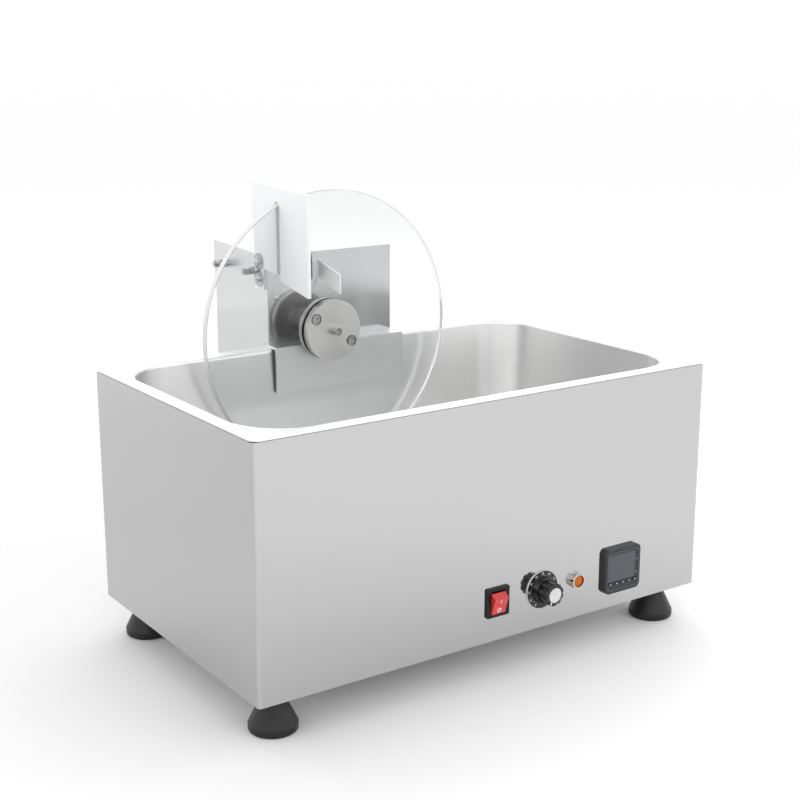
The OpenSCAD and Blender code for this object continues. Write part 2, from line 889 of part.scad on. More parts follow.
module saddle_bracket() {
    right_x = hook_x + hook_w;
    color("lightgray") difference() {
        placed() {
            block_at([hook_x, hook_y, pan_top_z - hook_drop],
                [hook_w, plate_t, saddle_top_z - pan_top_z + hook_drop]);
            block_at([hook_x, hook_y, saddle_top_z - plate_t], [hook_w, upright_y - hook_y, plate_t]);
            difference() {
                block_at([panel_in_x, upright_y, upright_foot_z],
                    [right_x - panel_in_x, plate_t, upright_top_z - upright_foot_z]);
                block_at([notch_x, upright_y - overrun, upright_top_z - notch_depth],
                    [notch_w, plate_t + 2 * overrun, notch_depth + overrun]);
            }
            blade();
        }
        on_axle(upright_back_y) {
            translate([0, 0, -overrun]) cylinder(h = plate_t + 2 * overrun, r = boss_r + boss_play);
            for (p = gear_places) translate([p[0], p[1], -overrun])
                cylinder(h = screw_grip + overrun, r = gear_screw_r + seat_play);
            for (p = cover_back_places) translate([p[0], p[1], -overrun])
                cylinder(h = screw_grip + overrun, r = cover_screw_r + seat_play);
            translate([cover_front_place[0], cover_front_place[1], -overrun])
                cylinder(h = plate_t + 2 * overrun, r = cover_screw_r + seat_play);
        }
    }
}

// Side panel, which carries the scraper
panel_lap = 2;
panel_front_y = body_d - panel_lap;
panel_leg_gap = 6;
panel_leg_y = body_d + panel_leg_gap;
panel_drop = 36;
panel_foot_z = pan_top_z - panel_drop;
panel_front_rise = 97.5;
panel_rear_rise = 103;
scraper_bolt_r = 2.5;
scraper_bolt_in = 9.5;
scraper_bolt_y = panel_front_y + scraper_bolt_in;
low_bolt_rise = 74;
high_bolt_rise = 92;
scraper_bolt_places = [for (rise = [low_bolt_rise, high_bolt_rise]) [scraper_bolt_y, pan_top_z + rise]];
side_bolt_r = 3;
side_bolt_rise = 80;
side_bolt_in = 25.5;
side_bolt_pitch = 63;
side_bolt_y = panel_front_y + side_bolt_in;
side_bolt_places = [for (y = [side_bolt_y, side_bolt_y + side_bolt_pitch]) [y, pan_top_z + side_bolt_rise]];

module bolt_holes(places, x, t, r) {
    for (p = places) translate([x - overrun, p[0], p[1]]) rotate([0, 90, 0])
        cylinder(h = t + 2 * overrun, r = r + seat_play);
}

module side_panel() {
    color("lightgray") placed() difference() {
        across(panel_x, plate_t) polygon([
            [panel_front_y, saddle_top_z], [panel_front_y, pan_top_z + panel_front_rise],
            [panel_rear_y, pan_top_z + panel_rear_rise], [panel_rear_y, panel_foot_z],
            [panel_leg_y, panel_foot_z], [panel_leg_y, saddle_top_z]
        ]);
        bolt_holes(scraper_bolt_places, panel_x, plate_t, scraper_bolt_r);
        bolt_holes(side_bolt_places, panel_x, plate_t, side_bolt_r);
    }
}

// Motor cover: a box against the back of the upright, which the motor stands out of
cover_depth = 110.5;
cover_flange_w = 8;
cover_head_r = 3.6;
cover_head_h = 2;
cover_screw_l = 7;
gearbox_half_w = 34;
gearbox_half_h = 30;
gearbox_l = 54;
gear_flange_half_w = 43;
gear_flange_t = 4;
shaft_seat = 16;
gear_head_r = 4.2;
gear_head_h = 2.5;
motor_r = 25;
motor_l = 42;
motor_off = 6.5;
motor_play = 0.5;
motor_y = upright_back_y + gearbox_l / 2;

module on_motor() {
    placed() translate([axle_x - motor_off, motor_y, axle_z + gearbox_half_h]) children();
}

module motor_cover() {
    inner_w = 2 * (cover_half_w - cover_t);
    inner_h = 2 * (cover_half_h - cover_t);
    color("silver") difference() {
        on_axle(upright_back_y) difference() {
            translate([0, 0, -cover_depth]) linear_extrude(cover_depth)
                square([2 * cover_half_w, 2 * cover_half_h], center = true);
            translate([0, 0, cover_t - cover_depth]) linear_extrude(cover_depth - 2 * cover_t)
                square([inner_w, inner_h], center = true);
            translate([0, 0, -cover_t - overrun]) linear_extrude(cover_t + 2 * overrun)
                square([2 * (cover_half_w - cover_flange_w), inner_h], center = true);
            for (p = cover_places) translate([p[0], p[1], -cover_t - overrun])
                cylinder(h = cover_t + 2 * overrun, r = cover_screw_r + seat_play);
        }
        on_motor() cylinder(h = motor_l, r = motor_r + motor_play);
    }
}

// One screw comes from the front, and the two below the rim come from behind
module cover_screws() {
    color("gray") {
        on_axle(upright_y) translate([cover_front_place[0], cover_front_place[1], 0])
            dome_screw(cover_head_r, cover_head_h, cover_screw_r, cover_screw_l);
        on_axle(upright_back_y) for (p = cover_back_places)
            translate([p[0], p[1], -cover_t]) rotate([180, 0, 0])
                dome_screw(cover_head_r, cover_head_h, cover_screw_r, cover_t + screw_grip - slide_play);
    }
}

module gearbox() {
    color("slategray") on_axle(upright_back_y) difference() {
        union() {
            translate([0, 0, -gearbox_l]) linear_extrude(gearbox_l)
                square([2 * gearbox_half_w, 2 * gearbox_half_h], center = true);
            translate([0, 0, -gear_flange_t]) linear_extrude(gear_flange_t)
                square([2 * gear_flange_half_w, 2 * gearbox_half_h], center = true);
            translate([0, 0, -overrun]) cylinder(h = plate_t + overrun, r = boss_r);
        }
        translate([0, 0, -shaft_seat]) cylinder(h = shaft_seat + plate_t + overrun, r = shaft_r + run_play);
        for (p = gear_places) translate([p[0], p[1], -gear_flange_t - overrun])
            cylinder(h = gear_flange_t + 2 * overrun, r = gear_screw_r + seat_play);
    }
}

// The screws come from behind and end inside the upright
module gearbox_screws() {
    color("gray") on_axle(upright_back_y) for (p = gear_places)
        translate([p[0], p[1], -gear_flange_t]) rotate([180, 0, 0])
            dome_screw(gear_head_r, gear_head_h, gear_screw_r, gear_flange_t + screw_grip - slide_play);
}

module motor() {
    color("dimgray") on_motor() cylinder(h = motor_l, r = motor_r);
}

// Shaft, hub and wheel
coupling_r = 13.5;
coupling_play = 1;
hub_back_play = 1.5;
hub_back_t = wheel_gap - hub_back_play;
hub_back_y = wheel_back_y + hub_back_t;
bush_r = 30.5;
hub_screw_r = 3;
hub_screw_head_r = 4.9;
hub_screw_head_h = 5;
hub_screw_socket_r = 2.9;
hub_screw_socket_h = 2.8;
hub_screw_pcr = 26;
hub_screw_angle = -32;
counterbore_r = 6.2;
hub_screw_grip = 4;
centre_r = 4.5;
centre_l = 10;
centre_socket_r = 2.5;
centre_socket_h = 3.5;
centre_shank_r = 3;
centre_shank_l = 26;

module hub_screw_places() {
    for (side = [0, 180]) rotate([0, 0, hub_screw_angle + side]) translate([hub_screw_pcr, 0, 0])
        rotate([0, 0, -hub_screw_angle - side]) children();
}

module drive_shaft() {
    color("silver") on_axle(wheel_y) difference() {
        translate([0, 0, -(upright_back_y + shaft_seat - slide_play - wheel_y)])
            cylinder(h = upright_back_y + shaft_seat - slide_play - wheel_y, r = shaft_r);
        translate([0, 0, -centre_shank_l])
            cylinder(h = centre_shank_l + overrun, r = centre_shank_r + seat_play);
    }
}

module shaft_coupling() {
    h = upright_y - coupling_play - hub_back_y;
    color("gray") on_axle(hub_back_y + h) tube(h, coupling_r, shaft_r + seat_play);
}

module hub_back() {
    color("silver") on_axle(hub_back_y) difference() {
        tube(hub_back_t, hub_r, shaft_r + seat_play);
        translate([0, 0, hub_back_t - hub_screw_grip]) hub_screw_places()
            cylinder(h = hub_screw_grip + overrun, r = hub_screw_r + seat_play);
    }
}

module hub_bush() {
    color("black") on_axle(wheel_back_y) difference() {
        tube(wheel_t, bush_r, shaft_r + seat_play);
        translate([0, 0, -overrun]) hub_screw_places()
            cylinder(h = wheel_t + 2 * overrun, r = hub_screw_r + seat_play);
    }
}

module wheel() {
    color("aliceblue", 0.4) on_axle(wheel_back_y) tube(wheel_t, wheel_r, bush_r + seat_play);
}

module hub_cap() {
    color("silver") on_axle(wheel_y) difference() {
        tube(hub_cap_t, hub_r, centre_shank_r + seat_play);
        hub_screw_places() {
            translate([0, 0, -overrun]) cylinder(h = hub_cap_t + 2 * overrun, r = hub_screw_r + seat_play);
            translate([0, 0, hub_cap_t - hub_screw_head_h])
                cylinder(h = hub_screw_head_h + overrun, r = counterbore_r);
        }
    }
}

module hub_screws() {
    shank_l = hub_cap_t - hub_screw_head_h + wheel_t + hub_screw_grip - slide_play;
    color("dimgray") on_axle(hub_cap_y + hub_screw_head_h) hub_screw_places()
        socket_screw(hub_screw_head_r, hub_screw_head_h, hub_screw_socket_r, hub_screw_socket_h,
            hub_screw_r, shank_l);
}

module centre_screw() {
    color("silver") on_axle(hub_cap_y)
        socket_screw(centre_r, centre_l, centre_socket_r, centre_socket_h, centre_shank_r,
            centre_shank_l + hub_cap_t - slide_play);
}

// Scraper: a clear plate with a slot that the wheel's edge runs through
scraper_front_reach = 56;
scraper_top_fall = 5.5;
scraper_rear_in = 9.5;
scraper_front_y = wheel_y - scraper_front_reach;
scraper_rear_y = scraper_bolt_y + scraper_rear_in;
// Heights above the rim along the lower edge, from the front to the bolted tab
scraper_front_rise = 66;
scraper_slot_rise = 76.5;
scraper_back_rise = 82.5;
scraper_tab_rise = 85.5;
scraper_tab_h = 23.5;
scraper_tab_y = scraper_bolt_y - scraper_rear_in;
slot_front_y = wheel_y - slot_gap;
slot_back_y = wheel_back_y + slot_gap;
slot_reach_x = axle_x - scraper_x - scraper_t;
slot_head_gap = 2.5;
slot_top_z = axle_z + sqrt(wheel_r * wheel_r - slot_reach_x * slot_reach_x) + slot_head_gap;

module scraper() {
    top_z = pan_top_z + scraper_rise;
    tab_z = pan_top_z + scraper_tab_rise;
    color("ghostwhite", 0.6) placed() difference() {
        across(scraper_x, scraper_t) polygon([
            [scraper_rear_y, top_z], [scraper_front_y, top_z - scraper_top_fall],
            [scraper_front_y, pan_top_z + scraper_front_rise],
            [slot_front_y, pan_top_z + scraper_slot_rise],
            [slot_front_y, slot_top_z], [slot_back_y, slot_top_z],
            [slot_back_y, pan_top_z + scraper_back_rise], [scraper_tab_y, tab_z],
            [scraper_tab_y, tab_z - scraper_tab_h], [scraper_rear_y, tab_z - scraper_tab_h]
        ]);
        bolt_holes(scraper_bolt_places, scraper_x, scraper_t, scraper_bolt_r);
    }
}

// Bolts of the scraper and the two bolts beside it
washer_r = 8.8;
washer_t = 1.5;
bolt_head_r = 5;
bolt_head_h = 4;
scraper_nut_af = 8;
side_head_af = 10;
side_nut_r = 4.2;
side_nut_h = 14.5;
bolt_nut_h = 5;
bolt_end = 2;
side_bolt_out = 16;

// Local frame on the side panel: z runs to the left from plane x
module on_side(x, place) {
    placed() translate([x, place[0], place[1]]) rotate([0, -90, 0]) children();
}

// Domed head on a washer outside, nut inside
module scraper_bolts() {
    grip = scraper_t + plate_t;
    color("silver") for (p = scraper_bolt_places) on_side(scraper_x, p) {
        tube(washer_t, washer_r, scraper_bolt_r + seat_play);
        translate([0, 0, washer_t])
            dome_screw(bolt_head_r, bolt_head_h, scraper_bolt_r, washer_t + grip + bolt_nut_h + bolt_end);
        translate([0, 0, -grip - bolt_nut_h])
            hex_nut(bolt_nut_h, scraper_nut_af, scraper_bolt_r + seat_play);
    }
}

// Hexagon head inside, long round nut outside
module side_bolts() {
    color("silver") for (p = side_bolt_places) on_side(panel_in_x, p) {
        translate([0, 0, -bolt_head_h]) cylinder(h = bolt_head_h, r = side_head_af / sqrt(3), $fn = 6);
        translate([0, 0, -bolt_end]) cylinder(h = bolt_end + plate_t + side_bolt_out, r = side_bolt_r);
        translate([0, 0, plate_t]) tube(side_nut_h, side_nut_r, side_bolt_r + seat_play);
    }
}

body_shell();
base_plate();
base_screws();
foot_front_left();
foot_front_right();
foot_back_left();
foot_back_right();
foot_bolts();
pan();
rim_gasket();
heater_mat();
insulation_pad();
sensor_clip();
sensor_probe();
terminal_block();
control_board();
board_standoffs();
heater_relay();
power_inlet();
inlet_pins();
motor_socket();
rocker_frame();
rocker();
dial_plate();
potentiometer();
pot_nut();
pot_shaft();
speed_knob();
knob_cap();
lamp_bezel();
lamp_lens();
lamp_nut();
controller_housing();
controller_screen();
controller_back();
controller_clamp();
controller_button_1();
controller_button_2();
controller_button_3();
controller_button_4();
controller_button_5();
saddle_bracket();
side_panel();
motor_cover();
cover_screws();
gearbox();
gearbox_screws();
motor();
drive_shaft();
shaft_coupling();
hub_back();
hub_bush();
wheel();
hub_cap();
hub_screws();
centre_screw();
scraper();
scraper_bolts();
side_bolts();
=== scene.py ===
"""Finishes, marks and studio for a chocolate melting tank with a dipping wheel."""

import json
import math

import bmesh
import bpy
from bpy.props import FloatProperty, FloatVectorProperty, IntProperty, PointerProperty
from mathutils import Matrix, Vector


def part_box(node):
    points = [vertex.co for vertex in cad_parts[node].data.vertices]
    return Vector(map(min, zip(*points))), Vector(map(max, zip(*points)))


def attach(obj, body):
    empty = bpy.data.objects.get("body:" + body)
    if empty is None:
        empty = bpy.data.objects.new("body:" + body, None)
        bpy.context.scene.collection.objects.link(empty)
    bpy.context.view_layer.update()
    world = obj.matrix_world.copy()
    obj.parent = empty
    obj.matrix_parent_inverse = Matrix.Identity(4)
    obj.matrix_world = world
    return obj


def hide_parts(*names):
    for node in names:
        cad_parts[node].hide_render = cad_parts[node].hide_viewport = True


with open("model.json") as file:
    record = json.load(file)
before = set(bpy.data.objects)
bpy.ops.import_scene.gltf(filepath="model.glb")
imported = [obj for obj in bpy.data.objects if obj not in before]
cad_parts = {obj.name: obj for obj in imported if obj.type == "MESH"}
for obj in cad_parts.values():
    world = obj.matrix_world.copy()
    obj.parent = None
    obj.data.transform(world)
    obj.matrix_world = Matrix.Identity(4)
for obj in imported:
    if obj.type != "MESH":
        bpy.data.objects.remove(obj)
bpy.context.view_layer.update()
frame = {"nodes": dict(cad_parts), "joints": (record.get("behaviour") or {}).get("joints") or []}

bl_info = {
    "name": "Chocolate melting tank",
    "version": (1, 0, 0),
    "blender": (4, 5, 0),
    "location": "View3D > Sidebar > Tank",
    "description": "Finishes, marks and studio for a melting tank with a dipping wheel",
    "category": "Object",
}

# Sides of round outlines
WHEEL_SIDES = 256
DIAL_SIDES = 96
RING_SIDES = 32

# Range that most values of a noise texture lie in
NOISE_LOW = 0.3
NOISE_HIGH = 0.7


def tint(name, description, default):
    """A colour that a user can change."""
    return FloatVectorProperty(
        name=name, description=description, subtype="COLOR", size=3, min=0, max=1, default=default
    )


def length(name, description, default):
    """A length in metres that a user can change."""
    return FloatProperty(name=name, description=description, unit="LENGTH", subtype="DISTANCE", default=default)


def turn(name, description, degrees):
    """An angle that a user can change."""
    return FloatProperty(
        name=name, description=description, unit="ROTATION", subtype="ANGLE", default=math.radians(degrees)
    )


def amount(name, description, default):
    """A plain number, not below zero, that a user can change."""
    return FloatProperty(name=name, description=description, min=0, default=default)


def number(name, description, default, least=2):
    """A whole number that a user can change."""
    return IntProperty(name=name, description=description, min=least, default=default)


def power(name, description, default):
    """A light's power in watts that a user can change."""
    return FloatProperty(name=name, description=description, unit="POWER", subtype="POWER", default=default)


def spot(name, description, default):
    """A place in metres that a user can change."""
    return FloatVectorProperty(
        name=name, description=description, subtype="TRANSLATION", unit="LENGTH", size=3, default=default
    )


class TankFinishes(bpy.types.PropertyGroup):
    """Colours of the tank's surfaces"""

    sheet_steel: tint("Sheet steel", "Polished stainless of the case", (0.485, 0.485, 0.487))
    unit_steel: tint("Unit steel", "Polished stainless of the upright", (0.57, 0.57, 0.572))
    # Painted light: this colour is much lighter than the upright's, though both are the same sheet.
    plate_steel_with_painted_light: tint("Plate steel", "Satin stainless of the hook plate and blade", (0.90, 0.90, 0.902))
    panel_steel: tint("Panel steel", "Satin stainless of the side panel", (0.675, 0.675, 0.6765))
    pan_steel: tint("Pan steel", "Satin stainless of the pan", (0.855, 0.855, 0.852))
    turned_steel: tint("Turned steel", "Hub discs, coupling and shafts", (0.54, 0.54, 0.535))
    screw_steel: tint("Screw steel", "Screws, nuts and washers", (0.46, 0.46, 0.47))
    chrome: tint("Chrome", "Bezel of the lamp", (0.54, 0.52, 0.515))
    bright_cap: tint("Bright cap", "Knob's cap, probe's clip and potentiometer", (0.66, 0.66, 0.66))
    wheel_clear: tint("Clear wheel", "Tint of the clear wheel", (0.905, 0.91, 0.915))
    wheel_edge: tint("Wheel edge", "Pale cut edge of the clear wheel", (0.66, 0.66, 0.66))
    scraper_milky: tint("Milky scraper", "Tint of the scraper plate", (0.81, 0.817, 0.824))
    foot_rubber: tint("Foot rubber", "Rubber of the feet", (0.008, 0.008, 0.009))
    dark_rubber: tint("Dark rubber", "Strip under the rim and ring in the hub", (0.010, 0.010, 0.010))
    heater_rubber: tint("Heater rubber", "Heating mat under the pan", (0.42, 0.10, 0.05))
    black_plastic: tint("Black plastic", "Knob, dial, switch frame and sockets", (0.007, 0.007, 0.008))
    slate_plastic: tint("Slate plastic", "Housing of the controller", (0.012, 0.013, 0.016))
    slate_rim: tint("Slate rim", "Raised rim on the controller", (0.072, 0.078, 0.096))
    screen_grey: tint("Screen grey", "Window of the controller", (0.056, 0.059, 0.072))
    switch_red: tint("Switch red", "Paddle of the switch", (0.58, 0.03, 0.03))
    lens_orange: tint("Lens orange", "Lens of the lamp", (0.46, 0.105, 0.003))
    ivory: tint("Ivory", "Terminal block and the controller's back", (0.72, 0.68, 0.56))
    board_green: tint("Board green", "Lacquered circuit board", (0.02, 0.16, 0.06))
    brass: tint("Brass", "Pins of the inlet", (0.72, 0.50, 0.20))
    wool: tint("Wool", "Insulation under the heater", (0.66, 0.60, 0.45))
    motor_paint: tint("Motor paint", "Paint of the motor", (0.03, 0.031, 0.034))
    cast_metal: tint("Cast metal", "Housing of the gearbox", (0.16, 0.165, 0.17))
    # This white is also the colour of the painted highlight band round the dial.
    print_and_highlight_white: tint("Mark white", "Printed marks of switch, dial and knob", (0.74, 0.74, 0.74))
    mark_grey: tint("Mark grey", "Printed marks of the controller", (0.407, 0.407, 0.407))


class TankMarks(bpy.types.PropertyGroup):
    """Sizes of the printed marks, the painted highlight band round the dial, the thin trim and the mirror finish"""

    lift: length("Lift", "How far a printed mark stands on its surface", 0.00008)
    tick_count: number("Ticks", "Marks around the dial", 41)
    tick_length: length("Tick length", "Length of a mark on the dial", 0.0008)
    tick_width: length("Tick width", "Width of a mark on the dial", 0.00018)
    tick_radius: length("Tick radius", "Distance of the marks from the dial's middle", 0.0143)
    numeral_count: number("Numbers", "Numbers around the dial", 11)
    numeral_step: number("Number step", "Difference from one number to the next", 10, least=1)
    numeral_size: length("Numeral size", "Height of the dial's numbers", 0.0029)
    numeral_radius: length("Numeral radius", "Distance of the numbers from the dial's middle", 0.0167)
    dial_sweep: turn("Dial sweep", "Angle from the first number to the last", 300)
    # Painted highlight: the bright band round the dial stands in for the highlight on its edge.
    edge_width: length("Edge width", "Thickness of the bright band around the dial", 0.00012)
    pointer_turn: turn("Pointer angle", "Where the knob points, clockwise from the top", -151)
    pointer_width: length("Pointer width", "Width of the line on the knob", 0.0013)
    pointer_end: length("Pointer end", "Distance of the line's outer end from the knob's middle", 0.0108)
    paddle_face: length("Paddle face", "Distance of the paddle's face from its pivot", 0.00948)
    paddle_slope: turn("Paddle slope", "Lean of each half of the paddle's face", 3.1976)
    mark_rise: length("Mark rise", "Height of a mark on the switch above or below the pivot", 0.005)
    off_ring: length("Off ring", "Radius of the round mark on the switch", 0.0024)
    mark_line: length("Mark line", "Line width of the marks on the switch", 0.0008)
    on_bar: length("On bar", "Length of the straight mark on the switch", 0.0038)
    rim_half_w: length("Rim half width", "Half the width of the controller's inner rim", 0.0214)
    rim_half_h: length("Rim half height", "Half the height of the controller's inner rim", 0.0202)
    rim_corner: length("Rim corner", "Corner radius of the controller's inner rim", 0.0042)
    rim_line: length("Rim line", "Width of the controller's inner rim", 0.0008)
    rim_proud: length("Rim height", "How far the controller's inner rim stands out", 0.0005)
    key_width: length("Key mark width", "Width of the mark on a button", 0.0019)
    key_height: length("Key mark height", "Height of the mark on a button", 0.001)
    sign_size: length("Sign size", "Side of the two signs beside the screen", 0.0011)
    sign_offset: length("Sign offset", "Distance of the signs from the controller's middle, to the right", 0.0188)
    sign_high: length("Upper sign", "Height of the upper sign above the controller's middle", 0.0076)
    sign_low: length("Lower sign", "Depth of the lower sign below the controller's middle", 0.006)
    band: length("Edge band", "Depth of the pale edge of the wheel", 0.0003)
    mirror_start: length("Mirror start", "How far ahead of the motor cover the bracket becomes a mirror", 0.0022)


class TankStage(bpy.types.PropertyGroup):
    """Camera, floor and light"""

    camera_place: spot("Camera", "Where the camera stands", (-0.8096, -1.2144, 0.6036))
    camera_pan: turn("Pan", "Turn of the camera about the vertical", -34.62)
    camera_tilt: turn("Tilt", "Turn of the camera up from straight down", 75.83)
    camera_lens: FloatProperty(
        name="Lens", description="Focal length of the camera", subtype="DISTANCE_CAMERA", default=64.29
    )
    camera_sensor: FloatProperty(
        name="Sensor", description="Width of the camera's sensor", subtype="DISTANCE_CAMERA", default=36.0
    )
    floor_size: length("Floor", "Side of the floor", 40.0)
    floor_tint: tint("Floor colour", "Colour of the floor", (0.98, 0.98, 0.98))
    # Painted shade on the floor: the values below darken its colour towards the back left.
    floor_way: FloatVectorProperty(
        name="Floor direction", description="Direction in which the floor gets paler", subtype="DIRECTION", size=3,
        default=(0.56, -0.83, 0.0)
    )
    floor_fade: length("Floor fade", "Distance from the middle at which the floor is palest or darkest", 0.6)
    floor_far: length("Evening start", "Distance from the middle at which the darker side begins to get even", 1.0)
    floor_even: length("Evening end", "Distance from the middle past which the darker side is even", 1.6)
    floor_level: amount("Even level", "Share of the paler colour where the darker side is even", 0.38)
    painted_floor_shade: amount("Floor dimming", "Brightness of the darker side", 0.77)
    sky: amount("Surround", "Brightness of the white surround", 1.52)
    sky_top: amount("Overhead", "Share of that brightness straight above", 0.36)
    sky_start: amount("Dimming start", "Upward part of the direction from which the surround gets dimmer", 0.55)
    key_power: power("Key light", "Power of the light above", 22.0)
    key_size: length("Key size", "Side of the light above", 3.0)
    key_place: spot("Key place", "Where the light above is", (0.7, 1.1, 2.4))
    fill_power: power("Fill light", "Power of the light in front", 2.0)
    fill_size: length("Fill size", "Side of the light in front", 0.8)
    fill_place: spot("Fill place", "Where the light in front is", (0.6, -1.8, 1.2))
    light_aim: spot("Aim", "Where both lights point", (0.0, 0.0, 0.2))


def box_middle(node):
    """Middle of a node's box and its half sizes."""
    low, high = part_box(node)
    return (low + high) / 2, (high - low) / 2


# Shared shader effects


def add_sockets(tree, way, sockets):
    """Named inputs or outputs of a node group."""
    for name, kind, value in sockets:
        made = tree.interface.new_socket(name, in_out=way, socket_type=kind)
        if value is not None:
            made.default_value = value


def new_group(name, inputs, outputs):
    """An empty shader group with its two end nodes."""
    tree = bpy.data.node_groups.new(name, "ShaderNodeTree")
    add_sockets(tree, "INPUT", inputs)
    add_sockets(tree, "OUTPUT", outputs)
    return tree, tree.nodes.new("NodeGroupInput"), tree.nodes.new("NodeGroupOutput")


def cloudy_finish():
    """Slow clouds and fine grain: a roughness between two limits, a colour mask and a height."""
    name = "Cloudy finish"
    if name in bpy.data.node_groups:
        return bpy.data.node_groups[name]
    tree, start, end = new_group(
        name,
        [
            ("Cloud Scale", "NodeSocketFloat", 12.0),
            ("Grain Scale", "NodeSocketFloat", 900.0),
            ("Stretch", "NodeSocketVector", (1.0, 1.0, 1.0)),
            ("Low", "NodeSocketFloat", 0.3),
            ("High", "NodeSocketFloat", 0.4),
        ],
        [
            ("Roughness", "NodeSocketFloat", None),
            ("Mask", "NodeSocketFloat", None),
            ("Height", "NodeSocketFloat", None),
        ],
    )
    nodes, links = tree.nodes, tree.links
    place = nodes.new("ShaderNodeTexCoord")
    stretch = nodes.new("ShaderNodeMapping")
    links.new(place.outputs["Object"], stretch.inputs["Vector"])
    links.new(start.outputs["Stretch"], stretch.inputs["Scale"])
    clouds = nodes.new("ShaderNodeTexNoise")
    clouds.inputs["Detail"].default_value = 3.0
    links.new(place.outputs["Object"], clouds.inputs["Vector"])
    links.new(start.outputs["Cloud Scale"], clouds.inputs["Scale"])
    grain = nodes.new("ShaderNodeTexNoise")
    grain.inputs["Detail"].default_value = 2.0
    links.new(stretch.outputs["Vector"], grain.inputs["Vector"])
    links.new(start.outputs["Grain Scale"], grain.inputs["Scale"])
    both = nodes.new("ShaderNodeMath")
    both.operation = "MULTIPLY_ADD"
    half = nodes.new("ShaderNodeMath")
    half.operation = "MULTIPLY"
    both.inputs[1].default_value = half.inputs[1].default_value = 0.5
    links.new(clouds.outputs["Fac"], half.inputs[0])
    links.new(grain.outputs["Fac"], both.inputs[0])
    links.new(half.outputs["Value"], both.inputs[2])
    limits = nodes.new("ShaderNodeMapRange")
    limits.inputs["From Min"].default_value = NOISE_LOW
    limits.inputs["From Max"].default_value = NOISE_HIGH
    links.new(both.outputs["Value"], limits.inputs["Value"])
    links.new(start.outputs["Low"], limits.inputs["To Min"])
    links.new(start.outputs["High"], limits.inputs["To Max"])
    links.new(limits.outputs["Result"], end.inputs["Roughness"])
    links.new(clouds.outputs["Fac"], end.inputs["Mask"])
    links.new(grain.outputs["Fac"], end.inputs["Height"])
    return tree


def turned_rings():
    """Fine rings about an axis along Y, as a lathe leaves them, as a height."""
    name = "Turned rings"
    if name in bpy.data.node_groups:
        return bpy.data.node_groups[name]
    tree, start, end = new_group(
        name,
        [("Middle", "NodeSocketVector", (0.0, 0.0, 0.0)), ("Scale", "NodeSocketFloat", 900.0)],
        [("Height", "NodeSocketFloat", None)],
    )
    nodes, links = tree.nodes, tree.links
    place = nodes.new("ShaderNodeTexCoord")
    shift = nodes.new("ShaderNodeVectorMath")
    shift.operation = "SUBTRACT"
    links.new(place.outputs["Object"], shift.inputs[0])
    links.new(start.outputs["Middle"], shift.inputs[1])
    rings = nodes.new("ShaderNodeTexWave")
    rings.wave_type = "RINGS"
    rings.rings_direction = "Y"
    rings.inputs["Distortion"].default_value = 0.0
    links.new(shift.outputs["Vector"], rings.inputs["Vector"])
    links.new(start.outputs["Scale"], rings.inputs["Scale"])
    links.new(rings.outputs["Fac"], end.inputs["Height"])
    return tree


def finish(name, base, rough, swing=0.05, metal=0.0, depth=0.0, cloud=14.0, grain=900.0, fade=0.06,
           stretch=(1.0, 1.0, 1.0), sockets=None):
    """A material whose colour and roughness drift slowly and whose grain has a height."""
    if name in bpy.data.materials:
        return bpy.data.materials[name]
    material = bpy.data.materials.new(name)
    material.use_nodes = True
    nodes, links = material.node_tree.nodes, material.node_tree.links
    shader = nodes["Principled BSDF"]
    effect = nodes.new("ShaderNodeGroup")
    effect.node_tree = cloudy_finish()
    effect.inputs["Cloud Scale"].default_value = cloud
    effect.inputs["Grain Scale"].default_value = grain
    effect.inputs["Stretch"].default_value = stretch
    effect.inputs["Low"].default_value = max(rough - swing, 0.0)
    effect.inputs["High"].default_value = min(rough + swing, 1.0)
    mix = nodes.new("ShaderNodeMix")
    mix.data_type = "RGBA"
    colours = [s for s in mix.inputs if s.type == "RGBA"]
    colours[0].default_value = (*[c * (1 - fade) for c in base], 1)
    colours[1].default_value = (*[min(c * (1 + fade), 1) for c in base], 1)
    links.new(effect.outputs["Mask"], mix.inputs["Factor"])
    links.new([s for s in mix.outputs if s.type == "RGBA"][0], shader.inputs["Base Color"])
    links.new(effect.outputs["Roughness"], shader.inputs["Roughness"])
    shader.inputs["Metallic"].default_value = metal
    for key, value in (sockets or {}).items():
        shader.inputs[key].default_value = value
    if depth:
        bump = nodes.new("ShaderNodeBump")
        bump.inputs["Strength"].default_value = 1.0
        bump.inputs["Distance"].default_value = depth
        links.new(effect.outputs["Height"], bump.inputs["Height"])
        links.new(bump.outputs["Normal"], shader.inputs["Normal"])
    return material


def turned(name, base, rough, middle, rings, depth=0.00002, sheen=0.75):
    """A turned metal: the cloudy finish with fine rings in place of its grain, and a sheen across them."""
    material = finish(name, base, rough, swing=0.06, metal=1.0)
    nodes, links = material.node_tree.nodes, material.node_tree.links
    effect = nodes.new("ShaderNodeGroup")
    effect.node_tree = turned_rings()
    effect.inputs["Middle"].default_value = middle
    effect.inputs["Scale"].default_value = rings
    bump = nodes.new("ShaderNodeBump")
    bump.inputs["Distance"].default_value = depth
    links.new(effect.outputs["Height"], bump.inputs["Height"])
    shader = nodes["Principled BSDF"]
    links.new(bump.outputs["Normal"], shader.inputs["Normal"])
    shader.inputs["Anisotropic"].default_value = sheen
    around = nodes.new("ShaderNodeTangent")
    around.direction_type, around.axis = "RADIAL", "Y"
    links.new(around.outputs["Tangent"], shader.inputs["Tangent"])
    return material


